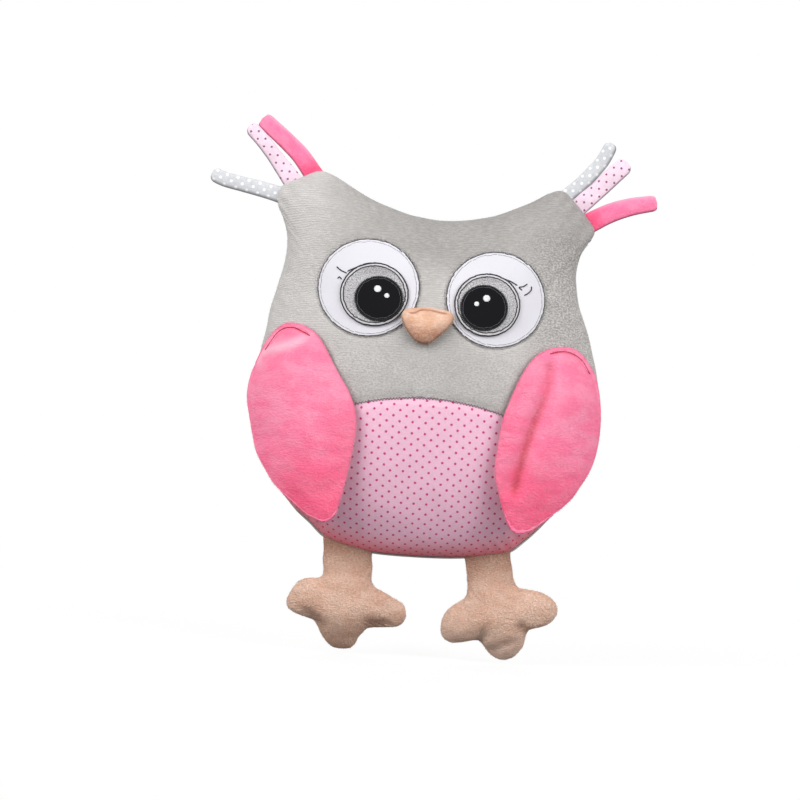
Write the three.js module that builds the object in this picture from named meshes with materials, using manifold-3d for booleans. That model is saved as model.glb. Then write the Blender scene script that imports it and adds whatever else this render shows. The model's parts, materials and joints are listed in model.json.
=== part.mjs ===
import * as THREE from "three";
import { mergeVertices } from "three/addons/utils/BufferGeometryUtils.js";
import Module from "manifold-3d";

// A stuffed plush owl: sewn skins round a filling, two wings, two legs, a beak, appliqué eyes and
// three ribbon tufts on each ear. Sizes are in millimetres. X runs to the owl's sides, Y from its
// face to its back and Z up. The origin is the middle of the belly, where a hand holds the toy.
const wasm = await Module();
wasm.setup();

// Clearances
const touchGap = 0.3;
const seamGap = 0.3;
const fillGap = 0.4;

// Body
const bodyWidth = 191;
const bodyHeight = 209.4;
const bodyDepth = 76;
const plushThickness = 2;
const backFlatDepth = 1.5;
const originShare = 0.443;
const bodyHubShare = 0.4;
const bodySectors = 52;
const bodyRings = 7;

// Belly seam
const bellySeamRadius = 139;
const bellySeamShare = 0.42;

// Eyes
const eyeWhiteRadius = 27.3;
const eyeGap = 16.3;
const eyeHeightShare = 0.699;
const irisRadius = 18.1;
const irisInward = 3.9;
const irisDrop = 3.5;
const pupilRadius = 13.1;
const pupilInward = 6.2;
const pupilDrop = 5.3;
const feltThickness = 1;
const eyeSides = 24;

// Beak
const beakWidth = 28;
const beakHeight = 19.4;
const beakTopShare = 0.6585;
const beakFrontDepth = 8.5;
const beakBackDepth = 2.4;
const beakSkinThickness = 0.9;
const beakTiltDeg = 9;
const beakHubShare = 0.4;
const beakSectors = 24;
const beakRings = 3;

// Wings
const wingWidth = 59.2;
const wingLength = 106.7;
const wingFrontDepth = 6;
const wingBackDepth = 3;
const wingSkinThickness = 1;
const shoulderShares = [0.838, 0.58];
const wingSeamSlopeDeg = 21;
const wingSeamLength = 22;
const wingGrip = 30;
const wingStandOff = 2;
const drapeWidthShare = 1.11;
const wingHubShares = [-0.2, -0.45];
const wingSectors = 27;
const wingRings = 3;

// Legs
const footWidth = 67;
const legLength = 59;
const legDepth = 17;
const legSkinThickness = 1.1;
const hipShare = 0.408;
const hipFlatShare = 0.3;
const hipTaper = 22;
const legHubShare = 0.6;
const legSectors = 38;
const legRings = 3;
const legSwingDeg = { left: -2, right: 13 };

// Ear tufts
const tuftLength = 38;
const tuftThickness = 3.4;
const tuftGap = 0.6;
const tuftPitchShare = 0.405;
const tuftMiddleShare = 0.55;
const tuftTipShare = 0.72;
const tuftSides = 8;

// Outlines from the lowest point round to the highest on the mid-line, as shares of half the
// width and of the height, and mirrored to the other side.
const bodyOutlineShares = [
  [0, 0], [0.262, 0.005], [0.43, 0.017], [0.586, 0.053], [0.733, 0.109], [0.869, 0.186],
  [0.958, 0.271], [0.998, 0.367], [0.999, 0.448], [0.977, 0.522], [0.946, 0.584],
  [0.908, 0.649], [0.869, 0.711], [0.846, 0.775], [0.859, 0.83], [0.888, 0.867],
  [0.92, 0.901], [0.915, 0.926], [0.822, 0.962], [0.734, 0.994], [0.686, 1], [0.6, 0.982],
  [0.487, 0.955], [0.346, 0.926], [0.178, 0.903], [0, 0.8935],
];
const earTopShares = [0.7, 0.998];
const earOuterShares = [0.922, 0.914];
const legOutlineShares = [
  [0, 0], [0.164, 0.017], [0.293, 0.085], [0.358, 0.161], [0.427, 0.215], [0.567, 0.237],
  [0.776, 0.263], [0.931, 0.305], [1, 0.385], [0.961, 0.47], [0.836, 0.546], [0.657, 0.603],
  [0.487, 0.644], [0.424, 0.703], [0.406, 0.847], [0.392, 0.97], [0.33, 1], [0, 1],
];
const beakOutlineShares = [
  [0, 0], [0.21, 0.02], [0.536, 0.227], [0.843, 0.479], [1, 0.724], [0.9, 0.9], [0.6, 0.985],
  [0, 1],
];

// The wing's outline, as shares of its width and length from the top of its seam. Positive
// widths lie on the outer side.
const wingOutlineShares = [
  [-0.076, 0.012], [0.068, -0.021], [0.177, -0.1], [0.253, -0.18], [0.301, -0.26],
  [0.307, -0.34], [0.294, -0.424], [0.23, -0.592], [0.101, -0.749], [-0.01, -0.831],
  [-0.135, -0.897], [-0.27, -0.953], [-0.38, -0.983], [-0.448, -0.984], [-0.5, -0.964],
  [-0.568, -0.893], [-0.613, -0.803], [-0.664, -0.712], [-0.693, -0.616], [-0.693, -0.517],
  [-0.667, -0.41], [-0.608, -0.316], [-0.532, -0.224], [-0.451, -0.138], [-0.365, -0.068],
  [-0.287, -0.021], [-0.186, 0.006],
];

// Each tuft's path above its seam: how far it leans to the ear's outer corner and how far it
// rises, as shares of its length. The tufts stand in a row from the ear's top corner outwards.
const tuftPaths = {
  left: [
    { fabric: "pink", widthShare: 0.94, pathShares: [[-0.03, 0.43], [0, 0.75], [0.04, 1.02]] },
    { fabric: "dotted", widthShare: 0.78, pathShares: [[-0.02, 0.42], [-0.03, 0.76], [-0.05, 0.95]] },
    { fabric: "grey", widthShare: 0.78, pathShares: [[0.28, 0.34], [0.48, 0.57], [0.58, 0.86]] },
  ],
  right: [
    { fabric: "grey", widthShare: 0.78, pathShares: [[0.03, 0.34], [0, 0.65], [-0.03, 0.9]] },
    { fabric: "dotted", widthShare: 0.78, pathShares: [[0.02, 0.31], [0.04, 0.6], [0.04, 0.88]] },
    { fabric: "pink", widthShare: 0.94, pathShares: [[0.06, 0.3], [0.2, 0.58], [0.41, 0.83]] },
  ],
};
const tuftEndShares = [0.04, 0.25, 0.62, 1];
const tuftStationShares = [0.22, 0.42, 0.62, 0.8];
const tuftRootShare = 0.05;

const bottom = -originShare * bodyHeight;
const fabrics = {
  greyPlush: { color: 0xc1bebd, roughness: 0.95 },
  dottedCotton: { color: 0xebb5cb, roughness: 0.85 },
  white: { color: 0xf4f3f4, roughness: 0.85 },
  iris: { color: 0x8a898c, roughness: 0.8 },
  black: { color: 0x212125, roughness: 0.7 },
  peach: { color: 0xe9c1a7, roughness: 0.9 },
  pinkPlush: { color: 0xfb90b0, roughness: 0.95 },
  beige: { color: 0xdab29d, roughness: 0.95 },
  fill: { color: 0xf6f4ef, roughness: 1 },
  pinkTuft: { color: 0xf98bb0, roughness: 0.9 },
  dottedTuft: { color: 0xf5deeb, roughness: 0.85 },
  greyTuft: { color: 0xdfdde0, roughness: 0.85 },
};

const flat = (x, z) => new THREE.Vector2(x, z);
const radians = THREE.MathUtils.degToRad;
const edgeSlack = 1e-6;

function loopOf(points, count) {
  const curve = new THREE.CatmullRomCurve3(
    points.map((p) => new THREE.Vector3(p.x, 0, p.y)),
    true,
    "centripetal",
  );
  return curve.getPoints(count).slice(0, count).map((p) => flat(p.x, p.z));
}

function mirroredLoop(shares, width, height, low, count) {
  const half = shares.map(([x, z]) => flat((x * width) / 2, low + z * height));
  const other = half.slice(1, -1).reverse().map((p) => flat(-p.x, p.y));
  return loopOf([...half, ...other], count);
}

// Moves each point of a counter-clockwise loop towards its inside.
function insetLoop(loop, inset) {
  return loop.map((p, i) => {
    const before = loop[(i + loop.length - 1) % loop.length];
    const after = loop[(i + 1) % loop.length];
    const along = after.clone().sub(before).normalize();
    return flat(p.x - along.y * inset, p.y + along.x * inset);
  });
}

function ringSpots(loop, hub, rings) {
  const spots = [hub.clone()];
  for (let ring = 1; ring <= rings; ring++) {
    const share = Math.sin((ring / rings) * (Math.PI / 2));
    for (const p of loop) {
      spots.push(hub.clone().lerp(p, share));
    }
  }
  return spots;
}

function ringFaces(count, rings) {
  const at = (ring, j) => 1 + (ring - 1) * count + (j % count);
  const faces = [];
  for (let j = 0; j < count; j++) {
    faces.push([0, at(1, j), at(1, j + 1)]);
    for (let ring = 1; ring < rings; ring++) {
      faces.push([at(ring, j), at(ring + 1, j), at(ring + 1, j + 1)]);
      faces.push([at(ring, j), at(ring + 1, j + 1), at(ring, j + 1)]);
    }
  }
  return faces;
}

// How full a stuffed outline stands at each spot, from 0 at its seam to 1 at its fullest: the
// square root of a soap film's height, found by relaxing the film over the outline's facets.
function fullness(spots, faces, rimStart) {
  const links = spots.map(() => new Map());
  const loads = spots.map(() => 0);
  for (const face of faces) {
    const [a, b, c] = face.map((k) => spots[k]);
    const doubleArea = b.clone().sub(a).cross(c.clone().sub(a));
    for (let k = 0; k < 3; k++) {
      const [i, j, far] = [face[k], face[(k + 1) % 3], face[(k + 2) % 3]];
      const u = spots[i].clone().sub(spots[far]);
      const v = spots[j].clone().sub(spots[far]);
      const pull = u.dot(v) / doubleArea / 2;
      links[i].set(j, (links[i].get(j) ?? 0) + pull);
      links[j].set(i, (links[j].get(i) ?? 0) + pull);
      loads[i] += doubleArea / 6;
    }
  }
  const sweeps = 500;
  const haste = 1.6;
  const film = spots.map(() => 0);
  for (let sweep = 0; sweep < sweeps; sweep++) {
    for (let i = 0; i < rimStart; i++) {
      let pulls = 0;
      let held = loads[i];
      for (const [j, pull] of links[i]) {
        pulls += pull;
        held += pull * film[j];
      }
      film[i] += haste * (held / pulls - film[i]);
    }
  }
  const top = Math.max(...film);
  return film.map((height) => Math.sqrt(Math.max(height, 0) / top));
}

// The Y of the facet that a spot lies on, seen from the front, or the fallback beside them all.
function facetY(points, faces, spot, fallback) {
  for (const face of faces) {
    const [a, b, c] = face.map((k) => flat(points[k].x, points[k].z));
    const whole = b.clone().sub(a).cross(c.clone().sub(a));
    const shareA = b.clone().sub(spot).cross(c.clone().sub(spot)) / whole;
    const shareB = c.clone().sub(spot).cross(a.clone().sub(spot)) / whole;
    const shareC = 1 - shareA - shareB;
    if (Math.min(shareA, shareB, shareC) >= -edgeSlack) {
      const [ya, yb, yc] = face.map((k) => points[k].y);
      return shareA * ya + shareB * yb + shareC * yc;
    }
  }
  return fallback;
}

// A sewn outline that swells to the front and to the back. thin narrows it at a spot, and
// middle is the Y about which it swells there.
class Stuffed {
  constructor({ loop, hub, rings, thin = () => 1, middle = () => 0 }) {
    Object.assign(this, { loop, hub, rings, thin });
    this.faces = ringFaces(loop.length, rings);
    this.rimStart = 1 + (rings - 1) * loop.length;
    this.sheet = ringSpots(loop, hub, rings).map((p) => new THREE.Vector3(p.x, middle(p), p.y));
  }

  // One skin of the outline: side -1 is the front and 1 the back.
  skin(inset, depth, side, gap = seamGap) {
    const spots = ringSpots(insetLoop(this.loop, inset), this.hub, this.rings);
    const full = fullness(spots, this.faces, this.rimStart);
    return spots.map((p, k) => {
      const middle = facetY(this.sheet, this.faces, p, this.sheet[k].y);
      const swell = depth * full[k] * this.thin(p);
      return new THREE.Vector3(p.x, middle + side * (gap / 2 + swell), p.y);
    });
  }

  // A closed panel between an outer and an inner skin, which meet in a flat seam allowance.
  panel(outer, inner, side) {
    const count = outer.length;
    const turn = ([a, b, c]) => (side < 0 ? [a, b, c] : [a, c, b]);
    const faces = this.faces.map(turn);
    for (const [a, b, c] of this.faces.map(turn)) {
      faces.push([a + count, c + count, b + count]);
    }
    const sectors = this.loop.length;
    for (let j = 0; j < sectors; j++) {
      const here = this.rimStart + j;
      const next = this.rimStart + ((j + 1) % sectors);
      faces.push(turn([here, here + count, next]), turn([next, here + count, next + count]));
    }
    return geometryFrom([...outer, ...inner], faces);
  }

  filling(inset, frontDepth, backDepth) {
    const front = this.skin(inset, frontDepth, -1, 0);
    const back = this.skin(inset, backDepth, 1, 0);
    const faces = [...this.faces];
    for (const [a, b, c] of this.faces) {
      faces.push([a + front.length, c + front.length, b + front.length]);
    }
    return geometryFrom([...front, ...back], faces);
  }
}

function geometryFrom(points, faces) {
  const geometry = new THREE.BufferGeometry();
  geometry.setAttribute(
    "position",
    new THREE.Float32BufferAttribute(points.flatMap((p) => [p.x, p.y, p.z]), 3),
  );
  geometry.setIndex(faces.flat());
  return mergeVertices(geometry);
}

function solidOf(geometry) {
  const bare = geometry.clone();
  bare.deleteAttribute("normal");
  bare.deleteAttribute("uv");
  const merged = mergeVertices(bare);
  return new wasm.Manifold(
    new wasm.Mesh({
      numProp: 3,
      vertProperties: merged.attributes.position.array,
      triVerts: new Uint32Array(merged.index.array),
    }),
  );
}

function geometryOf(solid) {
  const mesh = solid.getMesh();
  const geometry = new THREE.BufferGeometry();
  geometry.setAttribute("position", new THREE.BufferAttribute(mesh.vertProperties, 3));
  geometry.setIndex(new THREE.BufferAttribute(mesh.triVerts, 1));
  return geometry;
}

// Mirrors a geometry that was made for the +X side, and turns its faces out again.
function onSide(geometry, sideName) {
  if (sideName === "right") {
    return geometry;
  }
  const mirrored = geometry.clone().scale(-1, 1, 1);
  const index = Array.from(mirrored.index.array);
  for (let k = 0; k < index.length; k += 3) {
    [index[k + 1], index[k + 2]] = [index[k + 2], index[k + 1]];
  }
  mirrored.setIndex(index);
  return mirrored;
}

function addMesh(parent, name, geometry, fabric) {
  const material = new THREE.MeshStandardMaterial({ ...fabrics[fabric], metalness: 0 });
  geometry.computeVertexNormals();
  const mesh = new THREE.Mesh(geometry, material);
  mesh.name = name;
  parent.add(mesh);
}

// A group that stands at a joint, with the joint's axis kept beside it.
function jointGroup(parent, name, pivot, axis, sideName) {
  const flip = sideName === "left" ? -1 : 1;
  const group = new THREE.Group();
  group.name = name;
  group.position.set(flip * pivot.x, pivot.y, pivot.z);
  group.userData.axis = [axis.x, flip * axis.y, flip * axis.z];
  parent.add(group);
  return group;
}

const owl = new THREE.Group();

// Body: a face and a belly panel in front, one back panel, and the filling inside.
const bodyLoop = mirroredLoop(bodyOutlineShares, bodyWidth, bodyHeight, bottom, bodySectors);
const body = new Stuffed({
  loop: bodyLoop,
  hub: flat(0, bottom + bodyHubShare * bodyHeight),
  rings: bodyRings,
});
const halfDepth = (bodyDepth - seamGap) / 2;
const frontSkin = body.skin(0, halfDepth, -1);

// How far the front skin's facets stand before the seam plane, and 0 beside the body.
const frontHeight = (spot) => -facetY(frontSkin, body.faces, spot, 0);

const bodyPoint = ([x, z]) => flat((x * bodyWidth) / 2, bottom + z * bodyHeight);

// Everything below the belly seam's arc, which arches up from side to side.
function belowSeam(radius) {
  const seamTop = bottom + bellySeamShare * bodyHeight;
  const halfAngle = Math.asin(bodyWidth / 2 / radius);
  const shape = new THREE.Shape();
  shape.moveTo(-bodyWidth, bottom - bodyDepth);
  shape.lineTo(bodyWidth, bottom - bodyDepth);
  shape.absarc(
    0,
    seamTop - bellySeamRadius,
    radius,
    Math.PI / 2 - halfAngle,
    Math.PI / 2 + halfAngle,
    false,
  );
  shape.closePath();
  const block = new THREE.ExtrudeGeometry(shape, {
    depth: 2 * bodyDepth,
    bevelEnabled: false,
    curveSegments: 24,
  });
  return solidOf(block.rotateX(Math.PI / 2).translate(0, bodyDepth, 0));
}

const innerDepth = halfDepth - plushThickness;
const frontPanel = solidOf(
  body.panel(frontSkin, body.skin(plushThickness, innerDepth, -1), -1),
);
const facePanel = frontPanel.subtract(belowSeam(bellySeamRadius + seamGap / 2));
const bellyPanel = frontPanel.intersect(belowSeam(bellySeamRadius - seamGap / 2));
addMesh(owl, "face_panel", geometryOf(facePanel), "greyPlush");
addMesh(owl, "belly_panel", geometryOf(bellyPanel), "dottedCotton");

// The back is pressed flat where the owl lies on it.
const backFlat = bodyDepth / 2 - backFlatDepth;
const pressed = (skin, limit) => {
  return skin.map((p) => new THREE.Vector3(p.x, Math.min(p.y, limit), p.z));
};
addMesh(
  owl,
  "back_panel",
  body.panel(
    pressed(body.skin(0, halfDepth, 1), backFlat),
    pressed(body.skin(plushThickness, innerDepth, 1), backFlat - plushThickness),
    1,
  ),
  "greyPlush",
);
const fillingDepth = innerDepth - fillGap;
const bodyFilling = body.filling(plushThickness + fillGap, fillingDepth, fillingDepth - backFlatDepth);
addMesh(owl, "body_stuffing", bodyFilling, "fill");

// Eyes: three layers of felt on each side, each one a round of the face's own facets.
const eyeX = eyeGap / 2 + eyeWhiteRadius;
const eyeZ = bottom + eyeHeightShare * bodyHeight;
const eyeLayers = [
  { name: "white", x: eyeX, z: eyeZ, radius: eyeWhiteRadius, fabric: "white" },
  { name: "iris", x: eyeX - irisInward, z: eyeZ - irisDrop, radius: irisRadius, fabric: "iris" },
  { name: "pupil", x: eyeX - pupilInward, z: eyeZ - pupilDrop, radius: pupilRadius, fabric: "black" },
];
const layerLift = (layer) => touchGap + layer * (feltThickness + touchGap);

function feltSheet(layer) {
  const raised = (lift) => frontSkin.map((p) => new THREE.Vector3(p.x, p.y - lift, p.z));
  const near = layerLift(layer);
  return solidOf(body.panel(raised(near + feltThickness), raised(near), -1));
}

for (const sideName of ["left", "right"]) {
  eyeLayers.forEach(({ name, x, z, radius, fabric }, layer) => {
    const round = new THREE.CylinderGeometry(radius, radius, 2 * bodyDepth, eyeSides);
    const place = sideName === "left" ? -x : x;
    const patch = feltSheet(layer).intersect(solidOf(round.translate(place, -bodyDepth, z)));
    addMesh(owl, `eye_${name}_${sideName}`, geometryOf(patch), fabric);
  });
}

// Height of whatever already lies on the face at a spot, with a margin round each felt layer.
function faceTop(spot) {
  const covering = eyeLayers.findLastIndex(({ x, z, radius }) => {
    return flat(Math.abs(spot.x), spot.y).distanceTo(flat(x, z)) < radius + 2 * feltThickness;
  });
  return frontHeight(spot) + (covering < 0 ? 0 : layerLift(covering) + feltThickness);
}

// Beak: a stuffed triangle sewn down along its top edge, with its tip standing off the face.
const beakTop = bottom + beakTopShare * bodyHeight;
const beakLoop = mirroredLoop(
  beakOutlineShares,
  beakWidth,
  beakHeight,
  beakTop - beakHeight,
  beakSectors,
);
const beakLean = (spot) => (beakTop - spot.y) * Math.tan(radians(beakTiltDeg));
const beakPattern = {
  loop: beakLoop,
  hub: flat(0, beakTop - beakHubShare * beakHeight),
  rings: beakRings,
};
const looseBack = new Stuffed(beakPattern).skin(0, beakBackDepth, 1);
const beakSeat = Math.max(
  ...looseBack.map((p) => faceTop(flat(p.x, p.z)) + p.y - beakLean(flat(p.x, p.z))),
) + touchGap;
const beak = new Stuffed({ ...beakPattern, middle: (spot) => -beakSeat - beakLean(spot) });
const beakPivot = new THREE.Vector3(0, -beakSeat, beakTop);
const beakJoint = jointGroup(owl, "beak_lift", beakPivot, new THREE.Vector3(-1, 0, 0), "right");

function addStuffedPart(joint, pattern, names, fabric, depths, skinThickness, shape) {
  const [frontName, backName, fillName] = names;
  const inner = skinThickness + fillGap;
  const front = pattern.panel(
    pattern.skin(0, depths.front, -1),
    pattern.skin(skinThickness, depths.front - skinThickness, -1),
    -1,
  );
  const back = pattern.panel(
    pattern.skin(0, depths.back, 1),
    pattern.skin(skinThickness, depths.back - skinThickness, 1),
    1,
  );
  const fill = pattern.filling(inner, depths.front - inner, depths.back - inner);
  addMesh(joint, frontName, shape(front), fabric);
  addMesh(joint, backName, shape(back), fabric);
  addMesh(joint, fillName, shape(fill), "fill");
}

addStuffedPart(
  beakJoint,
  beak,
  ["beak_front", "beak_back", "beak_stuffing"],
  "peach",
  { front: beakFrontDepth, back: beakBackDepth },
  beakSkinThickness,
  (geometry) => geometry.translate(-beakPivot.x, -beakPivot.y, -beakPivot.z),
);

// Wings: leaf-shaped pads sewn to the body along the top only. They follow the body at the
// seam and hang clear of it below.
const shoulder = bodyPoint(shoulderShares);
const seamSlope = radians(wingSeamSlopeDeg);
const seamAlong = flat(Math.cos(seamSlope), -Math.sin(seamSlope));
const seamUp = flat(Math.sin(seamSlope), Math.cos(seamSlope));
const wingLoop = loopOf(
  wingOutlineShares.map(([x, z]) => {
    return flat(shoulder.x + x * wingWidth, shoulder.y + z * wingLength);
  }),
  wingSectors,
).reverse();
const seamTopReach = Math.max(...wingLoop.map((p) => p.clone().sub(shoulder).dot(seamUp)));
const drapeWidth = (drapeWidthShare * bodyWidth) / 2;

function wingMiddle(spot) {
  const below = seamTopReach - spot.clone().sub(shoulder).dot(seamUp);
  const grip = 1 - THREE.MathUtils.smoothstep(below, 0, wingGrip);
  const across = Math.min(spot.x / drapeWidth, 1);
  const free = (bodyDepth / 2 + wingStandOff) * Math.sqrt(1 - across * across);
  const seated = frontHeight(spot) + 2 * touchGap + wingBackDepth * grip * (1 - grip);
  return -THREE.MathUtils.lerp(free, Math.max(seated, 0), grip);
}

const wing = new Stuffed({
  loop: wingLoop,
  hub: flat(shoulder.x + wingHubShares[0] * wingWidth, shoulder.y + wingHubShares[1] * wingLength),
  rings: wingRings,
  middle: wingMiddle,
});

// The hinge runs along the top of the wing's seam, just before the body's fullest point there.
const seamSpot = (share) => {
  return shoulder
    .clone()
    .addScaledVector(seamUp, seamTopReach)
    .addScaledVector(seamAlong, share * wingSeamLength);
};
const [innerSeam, outerSeam] = [seamSpot(-0.5), seamSpot(0.5)];
const seamFall = (frontHeight(innerSeam) - frontHeight(outerSeam)) / wingSeamLength;
const seamShares = [-0.5, -0.25, 0, 0.25, 0.5];
const hingeStandOff = Math.max(
  ...seamShares.map((share) => frontHeight(seamSpot(share)) + share * wingSeamLength * seamFall),
) + touchGap;
const wingPivot = new THREE.Vector3(seamSpot(0).x, -hingeStandOff, seamSpot(0).y);
const wingAxis = new THREE.Vector3(-seamAlong.x, -seamFall, -seamAlong.y).normalize();

// The body's front, raised by the touching gap: what a wing may not reach into.
const bodyBlock = solidOf(
  body.panel(
    frontSkin.map((p) => new THREE.Vector3(p.x, p.y - touchGap, p.z)),
    frontSkin.map((p) => new THREE.Vector3(p.x, bodyDepth / 2, p.z)),
    -1,
  ),
);

for (const sideName of ["left", "right"]) {
  const name = `wing_${sideName}`;
  addStuffedPart(
    jointGroup(owl, `${name}_lift`, wingPivot, wingAxis, sideName),
    wing,
    [`${name}_front`, `${name}_back`, `${name}_wadding`],
    "pinkPlush",
    { front: wingFrontDepth, back: wingBackDepth },
    wingSkinThickness,
    (geometry) => {
      const cut = geometryOf(solidOf(geometry).subtract(bodyBlock));
      return onSide(cut.translate(-wingPivot.x, -wingPivot.y, -wingPivot.z), sideName);
    },
  );
}

// Legs: a column and a three-toed foot, sewn flat into the body's bottom seam.
const hip = bodyPoint([hipShare, 0]);
const hipEdge = bodyLoop.findIndex((p, i) => {
  const next = bodyLoop[(i + 1) % bodyLoop.length];
  return p.y < 0 && p.x <= hip.x && next.x > hip.x;
});
const hipRun = bodyLoop[hipEdge + 2].clone().sub(bodyLoop[hipEdge - 1]).normalize();
const hipDown = flat(hipRun.y, -hipRun.x);
const hipReach = Math.max(...bodyLoop.map((p) => p.dot(hipDown))) + touchGap;
const hipOnEdge = flat(hip.x, (hipReach - hip.x * hipDown.x) / hipDown.y);

function legPattern(swing) {
  const seamTilt = Math.atan2(hipRun.y, hipRun.x) - swing;
  const straight = mirroredLoop(legOutlineShares, footWidth, legLength, -legLength, legSectors);
  const place = (p) => {
    const fade = THREE.MathUtils.clamp(1 + p.y / hipTaper, 0, 1);
    const top = flat(p.x, p.y + p.x * Math.tan(seamTilt) * fade);
    return top.rotateAround(flat(0, 0), swing).add(hipOnEdge);
  };
  const thin = (spot) => {
    const below = spot.dot(hipDown) - hipReach;
    return hipFlatShare + (1 - hipFlatShare) * THREE.MathUtils.clamp(below / hipTaper, 0, 1);
  };
  const hub = place(flat(0, -legHubShare * legLength));
  return new Stuffed({ loop: straight.map(place), hub, rings: legRings, thin });
}

const hipPivot = new THREE.Vector3(hipOnEdge.x, 0, hipOnEdge.y);
const hipAxis = new THREE.Vector3(hipRun.x, 0, hipRun.y);
for (const sideName of ["left", "right"]) {
  const name = `leg_${sideName}`;
  addStuffedPart(
    jointGroup(owl, `${name}_swing`, hipPivot, hipAxis, sideName),
    legPattern(radians(legSwingDeg[sideName])),
    [`${name}_front`, `${name}_back`, `${name}_stuffing`],
    "beige",
    { front: (legDepth - seamGap) / 2, back: (legDepth - seamGap) / 2 },
    legSkinThickness,
    (geometry) => onSide(geometry.translate(-hipPivot.x, 0, -hipPivot.z), sideName),
  );
}

// Ear tufts: flat sewn ribbons that stand in a row in each ear's end seam.
const earTop = bodyPoint(earTopShares);
const earOuter = bodyPoint(earOuterShares);
const earLength = earTop.distanceTo(earOuter);
const earAlong = earOuter.clone().sub(earTop).normalize();
const earOut = flat(-earAlong.y, earAlong.x);
const tuftHalfThickness = tuftThickness / 2;
const earReach = Math.max(...bodyLoop.map((p) => p.dot(earOut))) + touchGap + tuftHalfThickness;
const tuftPitch = tuftPitchShare * earLength;

function ribbon(pathShares, halfWidth) {
  const path = new THREE.CatmullRomCurve3(
    [[0, 0], [0, tuftRootShare], ...pathShares].map(([lean, rise]) => {
      return new THREE.Vector3(lean * tuftLength, rise * tuftLength, 0);
    }),
  );
  const length = path.getLength();
  const rootEnd = tuftEndShares.map((share) => {
    const round = Math.sqrt(1 - (1 - share) ** 2);
    return { at: (share - 1) * tuftHalfThickness, wide: 1, thick: round };
  });
  const middle = tuftStationShares.map((share) => {
    const taper = 1 + (tuftTipShare - 1) * share;
    return { at: share * length, wide: taper, thick: 1 };
  });
  const tipEnd = tuftEndShares.toReversed().map((share) => {
    const round = Math.sqrt(1 - (1 - share) ** 2);
    return { at: length - share * halfWidth * tuftTipShare, wide: tuftTipShare * round, thick: round };
  });
  const points = [];
  for (const { at, wide, thick } of [...rootEnd, ...middle, ...tipEnd]) {
    const share = THREE.MathUtils.clamp(at / length, 0, 1);
    const centre = path.getPointAt(share);
    const tangent = path.getTangentAt(share);
    centre.y += Math.min(at, 0);
    for (let side = 0; side < tuftSides; side++) {
      const angle = (side / tuftSides) * 2 * Math.PI;
      const reach = Math.cos(angle) * wide * halfWidth;
      const point = centre.clone();
      point.x += tangent.y * reach;
      point.y -= tangent.x * reach;
      point.z += Math.sin(angle) * thick * tuftHalfThickness;
      points.push(point);
    }
  }
  return geometryFrom(points, tubeFaces(points.length / tuftSides, tuftSides));
}

// The faces of a tube of rings that is closed at both ends.
function tubeFaces(rings, sides) {
  const faces = [];
  const last = (rings - 1) * sides;
  for (let j = 0; j < sides; j++) {
    const next = (j + 1) % sides;
    for (let ring = 0; ring < rings - 1; ring++) {
      const low = ring * sides;
      const high = low + sides;
      faces.push([low + j, high + j, low + next], [low + next, high + j, high + next]);
    }
    if (j > 0 && next > 0) {
      faces.push([0, j, next], [last, last + next, last + j]);
    }
  }
  return faces;
}

for (const sideName of ["left", "right"]) {
  tuftPaths[sideName].forEach(({ fabric, widthShare, pathShares }, place) => {
    const along = tuftMiddleShare * earLength + (place - 1) * tuftPitch;
    const root = earTop.clone().addScaledVector(earAlong, along);
    root.addScaledVector(earOut, earReach - root.dot(earOut));
    const geometry = ribbon(pathShares, (widthShare * (tuftPitch - tuftGap)) / 2);
    // The ribbon was drawn leaning along X and rising along Y, and turns into the ear's plane.
    const turn = new THREE.Matrix4().makeBasis(
      new THREE.Vector3(earAlong.x, 0, earAlong.y),
      new THREE.Vector3(earOut.x, 0, earOut.y),
      new THREE.Vector3(0, -1, 0),
    );
    const pivot = new THREE.Vector3(root.x, 0, root.y);
    const axis = new THREE.Vector3(earAlong.x, 0, earAlong.y);
    const name = `tuft_${sideName}_${fabric}`;
    addMesh(
      jointGroup(owl, `${name}_bend`, pivot, axis, sideName),
      name,
      onSide(geometry.applyMatrix4(turn), sideName),
      `${fabric}Tuft`,
    );
  });
}

export default owl;
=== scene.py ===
"""A stuffed plush owl: its sewn skins, appliqué eyes, wings, legs and ribbon tufts, built round
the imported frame."""

import json
import math
from collections import namedtuple

import bmesh
import bpy
import numpy as np
from mathutils import Matrix, Vector, noise
from mathutils.bvhtree import BVHTree


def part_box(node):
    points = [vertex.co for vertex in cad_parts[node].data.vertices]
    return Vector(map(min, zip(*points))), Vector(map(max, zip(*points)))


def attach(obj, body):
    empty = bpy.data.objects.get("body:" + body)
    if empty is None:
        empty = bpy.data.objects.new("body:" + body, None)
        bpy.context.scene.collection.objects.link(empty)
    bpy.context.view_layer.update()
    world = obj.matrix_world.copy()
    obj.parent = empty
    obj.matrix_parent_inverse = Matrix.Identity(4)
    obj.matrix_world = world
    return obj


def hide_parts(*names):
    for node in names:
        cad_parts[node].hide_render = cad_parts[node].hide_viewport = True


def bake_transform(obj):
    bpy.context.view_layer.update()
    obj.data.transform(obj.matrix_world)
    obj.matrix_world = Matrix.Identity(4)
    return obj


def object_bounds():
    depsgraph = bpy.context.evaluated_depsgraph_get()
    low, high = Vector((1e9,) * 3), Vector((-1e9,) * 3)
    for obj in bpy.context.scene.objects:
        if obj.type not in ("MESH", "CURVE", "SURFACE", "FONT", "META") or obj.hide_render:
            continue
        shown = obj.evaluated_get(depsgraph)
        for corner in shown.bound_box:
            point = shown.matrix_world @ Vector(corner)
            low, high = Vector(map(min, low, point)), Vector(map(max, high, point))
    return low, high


# All lengths are in metres, and a place on the front is given across and up

# Sewing: the gaps between layers, and the thickness of each skin
SEAM_GAP = 0.0003
TOUCH_GAP = 0.0003
FILL_GAP = 0.0004
PLUSH_SKIN = 0.0014
COTTON_SKIN = 0.0008
WING_SKIN = 0.0009
BEAK_SKIN = 0.0008
LEG_SKIN = 0.001

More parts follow.
